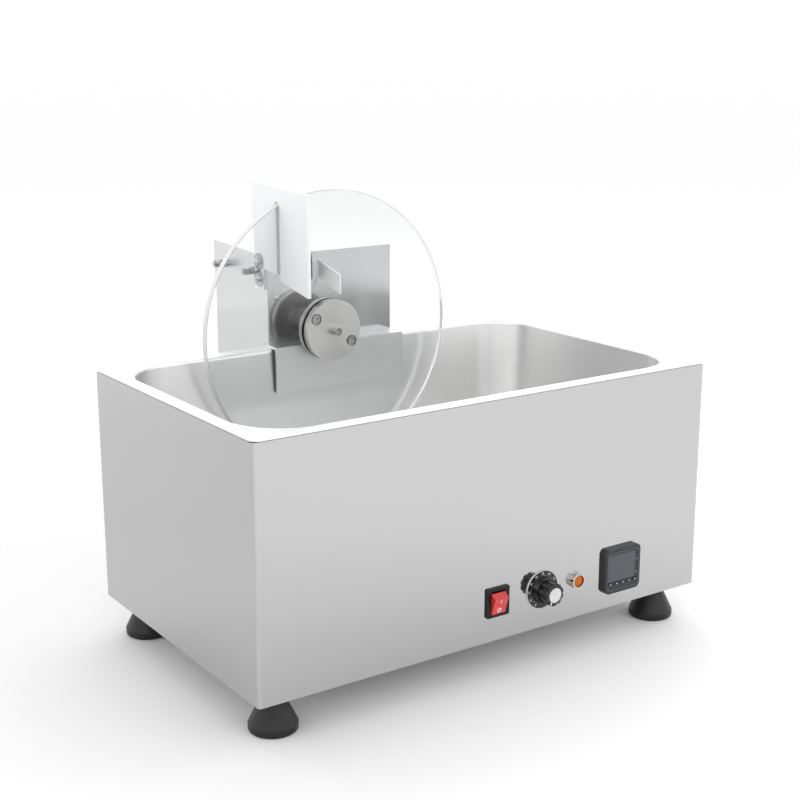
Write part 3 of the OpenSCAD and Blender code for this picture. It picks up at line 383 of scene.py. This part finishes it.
def polished_upright(colours, mirror_start, mirror_rough=0.15):
    """The bracket's sheet: satin where it hooks over the rim, a mirror from the upright's front face back. The satin
    part gets a much lighter colour than the mirror part, which is painted light.
    """
    material = finish("Bracket plate", colours.plate_steel_with_painted_light, 0.34, swing=0.04, metal=1.0, cloud=8.0, fade=0.02,
                      grain=300.0, stretch=(1.0, 1.0, 0.02))
    nodes, links = material.node_tree.nodes, material.node_tree.links
    shader = nodes["Principled BSDF"]
    place = nodes.new("ShaderNodeTexCoord")
    axes = nodes.new("ShaderNodeSeparateXYZ")
    links.new(place.outputs["Object"], axes.inputs["Vector"])
    behind = nodes.new("ShaderNodeMath")
    behind.operation = "GREATER_THAN"
    behind.inputs[1].default_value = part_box("motor_cover")[0].y - mirror_start
    links.new(axes.outputs["Y"], behind.inputs[0])
    # Painted light: the hook part of the same sheet gets a much lighter colour than the mirror part.
    colour = nodes.new("ShaderNodeMix")
    colour.data_type = "RGBA"
    first, second = [s for s in colour.inputs if s.type == "RGBA"]
    second.default_value = (*colours.unit_steel, 1)
    links.new(shader.inputs["Base Color"].links[0].from_socket, first)
    links.new(behind.outputs["Value"], colour.inputs["Factor"])
    links.new([s for s in colour.outputs if s.type == "RGBA"][0], shader.inputs["Base Color"])
    rough = nodes.new("ShaderNodeMix")
    start, end = [s for s in rough.inputs if s.type == "VALUE"][1:3]
    end.default_value = mirror_rough
    links.new(shader.inputs["Roughness"].links[0].from_socket, start)
    links.new(behind.outputs["Value"], rough.inputs["Factor"])
    links.new([s for s in rough.outputs if s.type == "VALUE"][0], shader.inputs["Roughness"])
    return material


def floor_finish(stage):
    """A pale floor with painted shade that makes it slightly darker from the front right to the back left."""
    material = finish("Pale floor", stage.floor_tint, 0.9, cloud=0.5, fade=0.0)
    nodes, links = material.node_tree.nodes, material.node_tree.links
    place = nodes.new("ShaderNodeTexCoord")
    along = nodes.new("ShaderNodeVectorMath")
    along.operation = "DOT_PRODUCT"
    along.inputs[1].default_value = stage.floor_way
    links.new(place.outputs["Object"], along.inputs[0])
    share = nodes.new("ShaderNodeMapRange")
    share.inputs["From Min"].default_value = -stage.floor_fade
    share.inputs["From Max"].default_value = stage.floor_fade
    links.new(along.outputs["Value"], share.inputs["Value"])
    apart = nodes.new("ShaderNodeVectorMath")
    apart.operation = "LENGTH"
    links.new(place.outputs["Object"], apart.inputs[0])
    far = nodes.new("ShaderNodeMapRange")
    far.inputs["From Min"].default_value = stage.floor_far
    far.inputs["From Max"].default_value = stage.floor_even
    far.inputs["To Max"].default_value = stage.floor_level
    links.new(apart.outputs["Value"], far.inputs["Value"])
    paler = nodes.new("ShaderNodeMath")
    paler.operation = "MAXIMUM"
    links.new(share.outputs["Result"], paler.inputs[0])
    links.new(far.outputs["Result"], paler.inputs[1])
    # Painted shade: the floor's colour gets darker towards the back left.
    mix = nodes["Mix"]
    colours = [s for s in mix.inputs if s.type == "RGBA"]
    colours[0].default_value = (*[c * stage.painted_floor_shade for c in stage.floor_tint], 1)
    colours[1].default_value = (*stage.floor_tint, 1)
    links.new(paler.outputs["Value"], mix.inputs["Factor"])
    return material


def white_print_and_highlight(colours):
    """The paint of the marks on switch, dial and knob, also used for the painted highlight band round the dial."""
    return finish("Printed white and painted highlight", colours.print_and_highlight_white, 0.5, swing=0.08, cloud=300.0)


def black_plastic(colours):
    """The plastic of switch frame, sockets, relay and clamp."""
    return finish("Black plastic", colours.black_plastic, 0.36, swing=0.06, cloud=120.0, grain=2500.0, fade=0.15,
                  depth=0.000012, sockets={"Specular IOR Level": 0.25})


def bright_screws(colours):
    """The metal of all screws, bolts and nuts."""
    return finish("Bright screws", colours.screw_steel, 0.22, swing=0.06, metal=1.0, cloud=200.0)


def dress(material, *names):
    """Puts a material on nodes of the frame."""
    for name in names:
        mesh = frame["nodes"][name].data
        mesh.materials.clear()
        mesh.materials.append(material)


# Pieces made here


def shown(name, mesh, material, body):
    """Puts a finished mesh into the scene and lets it ride on a body."""
    if material is not None:
        mesh.materials.clear()
        mesh.materials.append(material)
    piece = bpy.data.objects.new(name, mesh)
    bpy.context.scene.collection.objects.link(piece)
    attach(piece, body)
    return piece


def to_mesh(name, bm):
    """Ends a bmesh with its faces pointing outwards."""
    bmesh.ops.remove_doubles(bm, verts=bm.verts, dist=1e-7)
    bmesh.ops.recalc_face_normals(bm, faces=bm.faces)
    mesh = bpy.data.meshes.new(name)
    bm.to_mesh(mesh)
    bm.free()
    return mesh


def add_block(bm, size, place):
    """A box of that size, set by a matrix."""
    bmesh.ops.create_cube(bm, size=1.0, matrix=place @ Matrix.Diagonal((*size, 1.0)))


def add_loop(bm, outer, inner, depth, place):
    """A flat closed band between two outlines in the XZ plane, depth thick along Y."""
    rings = [
        [bm.verts.new(place @ Vector((x, y, z))) for x, z in outline]
        for outline, y in ((outer, 0.0), (outer, -depth), (inner, -depth), (inner, 0.0))
    ]
    count = len(outer)
    for a in range(4):
        one, two = rings[a], rings[(a + 1) % 4]
        for i in range(count):
            j = (i + 1) % count
            bm.faces.new((one[i], one[j], two[j], two[i]))


def circle(radius, count):
    """Points of a circle in the XZ plane."""
    return [
        (radius * math.sin(2 * math.pi * i / count), radius * math.cos(2 * math.pi * i / count))
        for i in range(count)
    ]


def rounded(half_w, half_h, radius, steps=6):
    """Points of a rectangle with round corners."""
    points = []
    for k, (sx, sz) in enumerate(((1, 1), (1, -1), (-1, -1), (-1, 1))):
        for i in range(steps + 1):
            a = math.radians(90 * k + 90 * i / steps)
            points.append((
                sx * (half_w - radius) + radius * math.sin(a),
                sz * (half_h - radius) + radius * math.cos(a),
            ))
    return points


def marks_tree():
    """Geometry Nodes: small blocks spread along an arc about the Y axis."""
    name = "Marks on an arc"
    if name in bpy.data.node_groups:
        return bpy.data.node_groups[name]
    tree = bpy.data.node_groups.new(name, "GeometryNodeTree")
    add_sockets(tree, "INPUT", [
        ("Count", "NodeSocketInt", 2),
        ("Radius", "NodeSocketFloat", 0.01),
        ("Start", "NodeSocketFloat", 0.0),
        ("Sweep", "NodeSocketFloat", 1.0),
        ("Size", "NodeSocketVector", (0.001, 0.001, 0.001)),
        ("Middle", "NodeSocketVector", (0.0, 0.0, 0.0)),
        ("Material", "NodeSocketMaterial", None),
    ])
    add_sockets(tree, "OUTPUT", [("Geometry", "NodeSocketGeometry", None)])
    nodes, links = tree.nodes, tree.links
    start, end = nodes.new("NodeGroupInput"), nodes.new("NodeGroupOutput")

    def math_node(operation, first, second=None):
        node = nodes.new("ShaderNodeMath")
        node.operation = operation
        for socket, value in zip(node.inputs, (first, second)):
            if isinstance(value, (int, float)):
                socket.default_value = value
            elif value is not None:
                links.new(value, socket)
        return node.outputs[0]

    index = nodes.new("GeometryNodeInputIndex").outputs[0]
    last = math_node("SUBTRACT", start.outputs["Count"], 1)
    share = math_node("DIVIDE", index, last)
    angle = math_node("ADD", start.outputs["Start"], math_node("MULTIPLY", share, start.outputs["Sweep"]))
    across = math_node("MULTIPLY", math_node("SINE", angle), start.outputs["Radius"])
    up = math_node("MULTIPLY", math_node("COSINE", angle), start.outputs["Radius"])
    point = nodes.new("ShaderNodeCombineXYZ")
    links.new(across, point.inputs["X"])
    links.new(up, point.inputs["Z"])
    moved = nodes.new("ShaderNodeVectorMath")
    links.new(point.outputs["Vector"], moved.inputs[0])
    links.new(start.outputs["Middle"], moved.inputs[1])
    points = nodes.new("GeometryNodePoints")
    links.new(start.outputs["Count"], points.inputs["Count"])
    links.new(moved.outputs["Vector"], points.inputs["Position"])
    lean = nodes.new("ShaderNodeCombineXYZ")
    links.new(angle, lean.inputs["Y"])
    block = nodes.new("GeometryNodeMeshCube")
    links.new(start.outputs["Size"], block.inputs["Size"])
    spread = nodes.new("GeometryNodeInstanceOnPoints")
    links.new(points.outputs[0], spread.inputs["Points"])
    links.new(block.outputs["Mesh"], spread.inputs["Instance"])
    links.new(lean.outputs["Vector"], spread.inputs["Rotation"])
    real = nodes.new("GeometryNodeRealizeInstances")
    links.new(spread.outputs["Instances"], real.inputs["Geometry"])
    paint = nodes.new("GeometryNodeSetMaterial")
    links.new(real.outputs["Geometry"], paint.inputs["Geometry"])
    links.new(start.outputs["Material"], paint.inputs["Material"])
    links.new(paint.outputs["Geometry"], end.inputs["Geometry"])
    return tree


def grown(name, tree, values):
    """Runs a Geometry Nodes tree once and returns its result as a plain mesh."""
    holder = bpy.data.objects.new(name + "_grown", bpy.data.meshes.new(name + "_empty"))
    bpy.context.scene.collection.objects.link(holder)
    modifier = holder.modifiers.new("Marks", "NODES")
    modifier.node_group = tree
    keys = {s.name: s.identifier for s in tree.interface.items_tree if s.in_out == "INPUT"}
    for label, value in values.items():
        modifier[keys[label]] = value
    holder.update_tag()
    depsgraph = bpy.context.evaluated_depsgraph_get()
    mesh = bpy.data.meshes.new_from_object(holder.evaluated_get(depsgraph), depsgraph=depsgraph)
    mesh.name = name
    holder.modifiers.clear()
    bpy.data.objects.remove(holder)
    return mesh


def add_text(bm, words, size, depth, place):
    """Adds flat letters that stand upright and face the front, set by a matrix."""
    letters = bpy.data.curves.new("letters", "FONT")
    letters.body = words
    letters.size = size
    letters.extrude = depth / 2
    letters.align_x, letters.align_y = "CENTER", "CENTER"
    holder = bpy.data.objects.new("letters", letters)
    bpy.context.scene.collection.objects.link(holder)
    depsgraph = bpy.context.evaluated_depsgraph_get()
    mesh = bpy.data.meshes.new_from_object(holder.evaluated_get(depsgraph))
    mesh.transform(place @ Matrix.Rotation(math.radians(90), 4, "X"))
    bm.from_mesh(mesh)
    bpy.data.objects.remove(holder)
    bpy.data.curves.remove(letters)
    bpy.data.meshes.remove(mesh)


# Operators


class TANK_OT_case(bpy.types.Operator):
    """Dresses the case, its base and the screws under it"""

    bl_idname = "tank.case"
    bl_label = "Case"

    def execute(self, context):
        colours = context.scene.tank_finishes
        sheet = finish("Polished sheet", colours.sheet_steel, 0.06, swing=0.02, metal=1.0, cloud=5.0, fade=0.015,
                       grain=300.0, stretch=(1.0, 1.0, 0.02))
        dress(sheet, "body_shell", "base_plate")
        dress(bright_screws(colours), "base_screws", "foot_bolts")
        return {"FINISHED"}


class TANK_OT_pan(bpy.types.Operator):
    """Dresses the pan and the strip under its rim"""

    bl_idname = "tank.pan"
    bl_label = "Pan"

    def execute(self, context):
        colours = context.scene.tank_finishes
        pan = finish("Satin pan", colours.pan_steel, 0.34, swing=0.04, metal=1.0, cloud=6.0, fade=0.015, grain=700.0)
        dress(pan, "pan")
        strip = finish("Dark rubber", colours.dark_rubber, 0.7, cloud=60.0)
        dress(strip, "rim_gasket", "hub_bush")
        return {"FINISHED"}


class TANK_OT_feet(bpy.types.Operator):
    """Dresses the rubber feet"""

    bl_idname = "tank.feet"
    bl_label = "Feet"

    def execute(self, context):
        colours = context.scene.tank_finishes
        rubber = finish("Foot rubber", colours.foot_rubber, 0.42, swing=0.08, cloud=80.0, grain=1800.0, fade=0.2,
                        depth=0.00003, sockets={"Specular IOR Level": 0.38})
        dress(rubber, "foot_front_left", "foot_front_right", "foot_back_left", "foot_back_right")
        return {"FINISHED"}


class TANK_OT_switch(bpy.types.Operator):
    """Dresses the switch and prints its two marks"""

    bl_idname = "tank.switch"
    bl_label = "Switch"

    def execute(self, context):
        colours, marks = context.scene.tank_finishes, context.scene.tank_marks
        dress(black_plastic(colours), "rocker_frame")
        red = finish("Red paddle", colours.switch_red, 0.24, swing=0.04, cloud=150.0, fade=0.08,
                     sockets={"Coat Weight": 0.25, "Coat Roughness": 0.12})
        dress(red, "rocker")
        joint = next(j for j in frame["joints"] if j["name"] == "rocker_tip")
        lean = math.radians(joint["range_deg"][1] / 2)
        pivot = Matrix.Translation(joint["pos_m"]) @ Matrix.Rotation(lean, 4, "X")
        face = -(marks.paddle_face + marks.lift / 2)
        bm = bmesh.new()
        low, high = [
            pivot
            @ Matrix.Translation((0, face, way * marks.mark_rise))
            @ Matrix.Rotation(way * marks.paddle_slope, 4, "X")
            for way in (-1, 1)
        ]
        outer = circle(marks.off_ring, RING_SIDES)
        inner = circle(marks.off_ring - marks.mark_line, RING_SIDES)
        add_loop(bm, outer, inner, marks.lift, low)
        add_block(bm, (marks.mark_line, marks.lift, marks.on_bar), high)
        shown("switch_marks", to_mesh("switch_marks", bm), white_print_and_highlight(colours), "rocker")
        return {"FINISHED"}


class TANK_OT_speed_control(bpy.types.Operator):
    """Dresses the dial and knob, prints the scale and pointer and adds a painted highlight band round the dial"""

    bl_idname = "tank.speed_control"
    bl_label = "Speed control"

    def execute(self, context):
        colours, marks = context.scene.tank_finishes, context.scene.tank_marks
        gloss = finish("Glossy dial", colours.black_plastic, 0.22, swing=0.05, cloud=150.0, fade=0.15)
        dress(gloss, "dial_plate")
        dress(finish("Glossy knob", colours.black_plastic, 0.14, swing=0.05, cloud=150.0, fade=0.15), "speed_knob")
        cap_middle, cap_half = box_middle("knob_cap")
        dress(turned("Spun cap", colours.bright_cap, 0.30, cap_middle, 1500.0), "knob_cap")
        dress(black_plastic(colours), "pot_shaft")
        white = white_print_and_highlight(colours)
        middle, half = box_middle("dial_plate")
        front = middle.y - half.y
        first = -marks.dial_sweep / 2
        ticks = grown("dial_ticks", marks_tree(), {
            "Count": marks.tick_count,
            "Radius": marks.tick_radius,
            "Start": first,
            "Sweep": marks.dial_sweep,
            "Size": (marks.tick_width, marks.lift, marks.tick_length),
            "Middle": (middle.x, front - marks.lift / 2, middle.z),
            "Material": white,
        })
        shown("dial_ticks", ticks, None, "tank")
        bm = bmesh.new()
        for i in range(marks.numeral_count):
            angle = first + marks.dial_sweep * i / (marks.numeral_count - 1)
            place = (
                Matrix.Translation((middle.x, front - marks.lift / 2, middle.z))
                @ Matrix.Rotation(angle, 4, "Y")
                @ Matrix.Translation((0, 0, marks.numeral_radius))
            )
            add_text(bm, str(marks.numeral_step * i), marks.numeral_size, marks.lift, place)
        mesh = bpy.data.meshes.new("dial_numbers")
        bm.to_mesh(mesh)
        bm.free()
        shown("dial_numbers", mesh, white, "tank")
        # Painted highlight: a thin white band round the dial's edge.
        bm = bmesh.new()
        place = Matrix.Translation((middle.x, middle.y + half.y, middle.z))
        outer = circle(half.x + marks.edge_width, DIAL_SIDES)
        add_loop(bm, outer, circle(half.x, DIAL_SIDES), 2 * half.y, place)
        shown("dial_highlight_band", to_mesh("dial_highlight_band", bm), white, "tank")
        knob, reach = box_middle("speed_knob")
        bm = bmesh.new()
        line = (marks.pointer_width, marks.lift, marks.pointer_end - cap_half.x)
        place = (
            Matrix.Translation((knob.x, knob.y - reach.y - marks.lift / 2, knob.z))
            @ Matrix.Rotation(marks.pointer_turn, 4, "Y")
            @ Matrix.Translation((0, 0, (cap_half.x + marks.pointer_end) / 2))
        )
        add_block(bm, line, place)
        shown("knob_pointer", to_mesh("knob_pointer", bm), white, "knob")
        return {"FINISHED"}


class TANK_OT_lamp(bpy.types.Operator):
    """Dresses the lamp"""

    bl_idname = "tank.lamp"
    bl_label = "Lamp"

    def execute(self, context):
        colours = context.scene.tank_finishes
        dress(finish("Chrome bezel", colours.chrome, 0.06, swing=0.03, metal=1.0, cloud=200.0), "lamp_bezel")
        lens = finish("Orange lens", colours.lens_orange, 0.12, swing=0.04, cloud=250.0, fade=0.2,
                      sockets={"Coat Weight": 0.15, "Coat Roughness": 0.03, "Specular IOR Level": 0.2})
        dress(lens, "lamp_lens")
        return {"FINISHED"}


class TANK_OT_controller(bpy.types.Operator):
    """Dresses the temperature controller, with its rim and key marks"""

    bl_idname = "tank.controller"
    bl_label = "Controller"

    def execute(self, context):
        colours, marks = context.scene.tank_finishes, context.scene.tank_marks
        slate = finish("Slate plastic", colours.slate_plastic, 0.38, swing=0.06, cloud=90.0, grain=2600.0, fade=0.12,
                       depth=0.000015)
        keys = ["controller_button_%d" % k for k in range(1, 6)]
        dress(slate, "controller_housing", *keys)
        window = finish("Screen window", colours.screen_grey, 0.10, swing=0.03, cloud=40.0, fade=0.08)
        dress(window, "controller_screen")
        middle, half = box_middle("controller_housing")
        front = middle.y - half.y
        bm = bmesh.new()
        outer, inner = [
            rounded(marks.rim_half_w - cut, marks.rim_half_h - cut, marks.rim_corner - cut)
            for cut in (0.0, marks.rim_line)
        ]
        add_loop(bm, outer, inner, marks.rim_proud, Matrix.Translation((middle.x, front, middle.z)))
        edge = finish("Slate rim", colours.slate_rim, 0.30, swing=0.05, cloud=90.0)
        shown("controller_rim", to_mesh("controller_rim", bm), edge, "tank")
        grey = finish("Printed grey", colours.mark_grey, 0.5, swing=0.08, cloud=300.0)
        for k, key in enumerate(keys, 1):
            place, size = box_middle(key)
            bm = bmesh.new()
            on_key = Matrix.Translation((place.x, place.y - size.y - marks.lift / 2, place.z))
            add_block(bm, (marks.key_width, marks.lift, marks.key_height), on_key)
            shown("key_mark_%d" % k, to_mesh("key_mark_%d" % k, bm), grey, "button_%d" % k)
        bm = bmesh.new()
        for rise in (marks.sign_high, -marks.sign_low):
            beside = Matrix.Translation((middle.x + marks.sign_offset, front - marks.lift / 2, middle.z + rise))
            add_block(bm, (marks.sign_size, marks.lift, marks.sign_size), beside)
        shown("controller_signs", to_mesh("controller_signs", bm), grey, "tank")
        return {"FINISHED"}


class TANK_OT_bracket(bpy.types.Operator):
    """Dresses the bracket over the rim, the side panel, the cover and their bolts"""

    bl_idname = "tank.bracket"
    bl_label = "Bracket"

    def execute(self, context):
        colours = context.scene.tank_finishes
        dress(polished_upright(colours, context.scene.tank_marks.mirror_start), "saddle_bracket")
        panel = finish("Panel plate", colours.panel_steel, 0.34, swing=0.04, metal=1.0, cloud=8.0, fade=0.02)
        dress(panel, "side_panel")
        cover = finish("Cover sheet", colours.unit_steel, 0.24, swing=0.05, metal=1.0, cloud=10.0, fade=0.03)
        dress(cover, "motor_cover")
        dress(bright_screws(colours), "scraper_bolts", "side_bolts", "cover_screws", "gearbox_screws")
        paint = finish("Dark paint", colours.motor_paint, 0.45, swing=0.08, cloud=60.0, grain=1500.0, fade=0.15,
                       depth=0.00003)
        dress(paint, "motor")
        cast = finish("Cast housing", colours.cast_metal, 0.55, swing=0.1, metal=0.8, cloud=60.0, grain=700.0,
                      fade=0.2, depth=0.0001)
        dress(cast, "gearbox")
        return {"FINISHED"}


class TANK_OT_wheel(bpy.types.Operator):
    """Dresses the clear wheel, its hub and the shaft"""

    bl_idname = "tank.wheel"
    bl_label = "Wheel"

    def execute(self, context):
        colours = context.scene.tank_finishes
        clear = finish("Clear wheel", colours.wheel_clear, 0.02, swing=0.015, cloud=10.0, fade=0.004,
                       sockets={"Transmission Weight": 1.0, "IOR": 1.49})
        pale = finish("Wheel edge", colours.wheel_edge, 0.45, swing=0.06, cloud=40.0)
        centre, half = box_middle("wheel")
        band = context.scene.tank_marks.band
        hole = box_middle("hub_bush")[1].x + band
        place = Matrix.Translation((centre.x, centre.y + half.y, centre.z))
        bm = bmesh.new()
        add_loop(bm, circle(half.x - 2 * band, WHEEL_SIDES), circle(hole, WHEEL_SIDES), 2 * half.y, place)
        disc = shown("wheel_disc", to_mesh("wheel_disc", bm), clear, "wheel_set")
        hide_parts("wheel")
        bm = bmesh.new()
        add_loop(bm, circle(half.x, WHEEL_SIDES), circle(half.x - band, WHEEL_SIDES), 2 * half.y, place)
        shown("wheel_edge", to_mesh("wheel_edge", bm), pale, "wheel_set")
        middle, _ = box_middle("hub_cap")
        hub = turned("Turned hub", colours.turned_steel, 0.28, middle, 700.0)
        dress(hub, "hub_cap", "hub_back", "shaft_coupling", "drive_shaft")
        dress(bright_screws(colours), "hub_screws", "centre_screw")
        return {"FINISHED"}


class TANK_OT_scraper(bpy.types.Operator):
    """Dresses the scraper plate"""

    bl_idname = "tank.scraper"
    bl_label = "Scraper"

    def execute(self, context):
        colours = context.scene.tank_finishes
        milky = finish("Milky scraper", colours.scraper_milky, 0.36, swing=0.04, cloud=20.0, fade=0.006,
                       sockets={"Transmission Weight": 0.04, "IOR": 1.45})
        dress(milky, "scraper")
        return {"FINISHED"}


class TANK_OT_inside(bpy.types.Operator):
    """Dresses what is inside the case and the sockets at the back"""

    bl_idname = "tank.inside"
    bl_label = "Inside and sockets"

    def execute(self, context):
        colours = context.scene.tank_finishes
        dress(black_plastic(colours), "power_inlet", "motor_socket", "heater_relay", "controller_clamp")
        dress(finish("Brass pins", colours.brass, 0.25, swing=0.06, metal=1.0, cloud=300.0), "inlet_pins")
        dress(finish("Heater rubber", colours.heater_rubber, 0.6, cloud=60.0, depth=0.0001), "heater_mat")
        dress(finish("Mineral wool", colours.wool, 0.95, cloud=90.0, grain=1200.0, depth=0.0006, fade=0.2),
              "insulation_pad")
        dress(finish("Ivory plastic", colours.ivory, 0.45, cloud=80.0), "terminal_block", "controller_back")
        dress(finish("Green board", colours.board_green, 0.3, cloud=200.0, fade=0.25), "control_board")
        plain = finish("Plain aluminium", colours.bright_cap, 0.4, metal=1.0, cloud=60.0)
        dress(plain, "sensor_clip", "potentiometer")
        dress(bright_screws(colours), "board_standoffs", "pot_nut", "lamp_nut", "sensor_probe")
        return {"FINISHED"}


class TANK_OT_stage(bpy.types.Operator):
    """Makes the floor, the light and the camera"""

    bl_idname = "tank.stage"
    bl_label = "Stage"

    def execute(self, context):
        scene, stage = context.scene, context.scene.tank_stage
        half = stage.floor_size / 2
        mesh = bpy.data.meshes.new("floor")
        mesh.from_pydata([(-half, -half, 0), (half, -half, 0), (half, half, 0), (-half, half, 0)], [], [(0, 1, 2, 3)])
        mesh.materials.append(floor_finish(stage))
        floor = bpy.data.objects.new("floor", mesh)
        scene.collection.objects.link(floor)
        world = bpy.data.worlds.new("White surround")
        world.use_nodes = True
        nodes, links = world.node_tree.nodes, world.node_tree.links
        nodes["Background"].inputs["Color"].default_value = (1, 1, 1, 1)
        axes = nodes.new("ShaderNodeSeparateXYZ")
        links.new(nodes.new("ShaderNodeTexCoord").outputs["Generated"], axes.inputs["Vector"])
        fall = nodes.new("ShaderNodeMapRange")
        fall.inputs["From Min"].default_value = stage.sky_start
        fall.inputs["To Min"].default_value = stage.sky
        fall.inputs["To Max"].default_value = stage.sky * stage.sky_top
        links.new(axes.outputs["Z"], fall.inputs["Value"])
        links.new(fall.outputs["Result"], nodes["Background"].inputs["Strength"])
        scene.world = world
        for name, size, power, place in (
            ("key", stage.key_size, stage.key_power, stage.key_place),
            ("fill", stage.fill_size, stage.fill_power, stage.fill_place),
        ):
            light = bpy.data.lights.new(name, "AREA")
            light.shape, light.size, light.energy = "SQUARE", size, power
            lamp = bpy.data.objects.new(name, light)
            lamp.location = place
            lamp.rotation_euler = (stage.light_aim - lamp.location).to_track_quat("-Z", "Y").to_euler()
            scene.collection.objects.link(lamp)
        lens = bpy.data.cameras.new("camera")
        lens.sensor_width, lens.lens = stage.camera_sensor, stage.camera_lens
        camera = bpy.data.objects.new("camera", lens)
        camera.location = stage.camera_place
        camera.rotation_euler = (stage.camera_tilt, 0, stage.camera_pan)
        scene.collection.objects.link(camera)
        scene.camera = camera
        scene.view_settings.view_transform = "Standard"
        return {"FINISHED"}


class TANK_PT_sidebar(bpy.types.Panel):
    """Lists the tank's pieces and the values that they are made with"""

    bl_idname = "TANK_PT_sidebar"
    bl_label = "Melting tank"
    bl_space_type = "VIEW_3D"
    bl_region_type = "UI"
    bl_category = "Tank"

    def draw(self, context):
        for maker in MAKERS:
            self.layout.operator(maker.bl_idname)
        for group in (context.scene.tank_finishes, context.scene.tank_marks, context.scene.tank_stage):
            column = self.layout.column()
            for key in group.__annotations__:
                column.prop(group, key)


MAKERS = (
    TANK_OT_stage, TANK_OT_case, TANK_OT_pan, TANK_OT_feet, TANK_OT_switch, TANK_OT_speed_control, TANK_OT_lamp,
    TANK_OT_controller, TANK_OT_bracket, TANK_OT_wheel, TANK_OT_scraper, TANK_OT_inside,
)
GROUPS = {"tank_finishes": TankFinishes, "tank_marks": TankMarks, "tank_stage": TankStage}


def register():
    """Makes the classes and their values known to Blender."""
    for made in (*GROUPS.values(), *MAKERS, TANK_PT_sidebar):
        bpy.utils.register_class(made)
    for name, group in GROUPS.items():
        setattr(bpy.types.Scene, name, PointerProperty(type=group))


def unregister():
    """Takes them away again."""
    for name in GROUPS:
        delattr(bpy.types.Scene, name)
    for made in (TANK_PT_sidebar, *reversed(MAKERS), *reversed(GROUPS.values())):
        bpy.utils.unregister_class(made)


def main():
    """Builds the scene piece by piece."""
    register()
    for maker in MAKERS:
        family, action = maker.bl_idname.split(".")
        getattr(getattr(bpy.ops, family), action)()


if __name__ == "__main__":
    main()
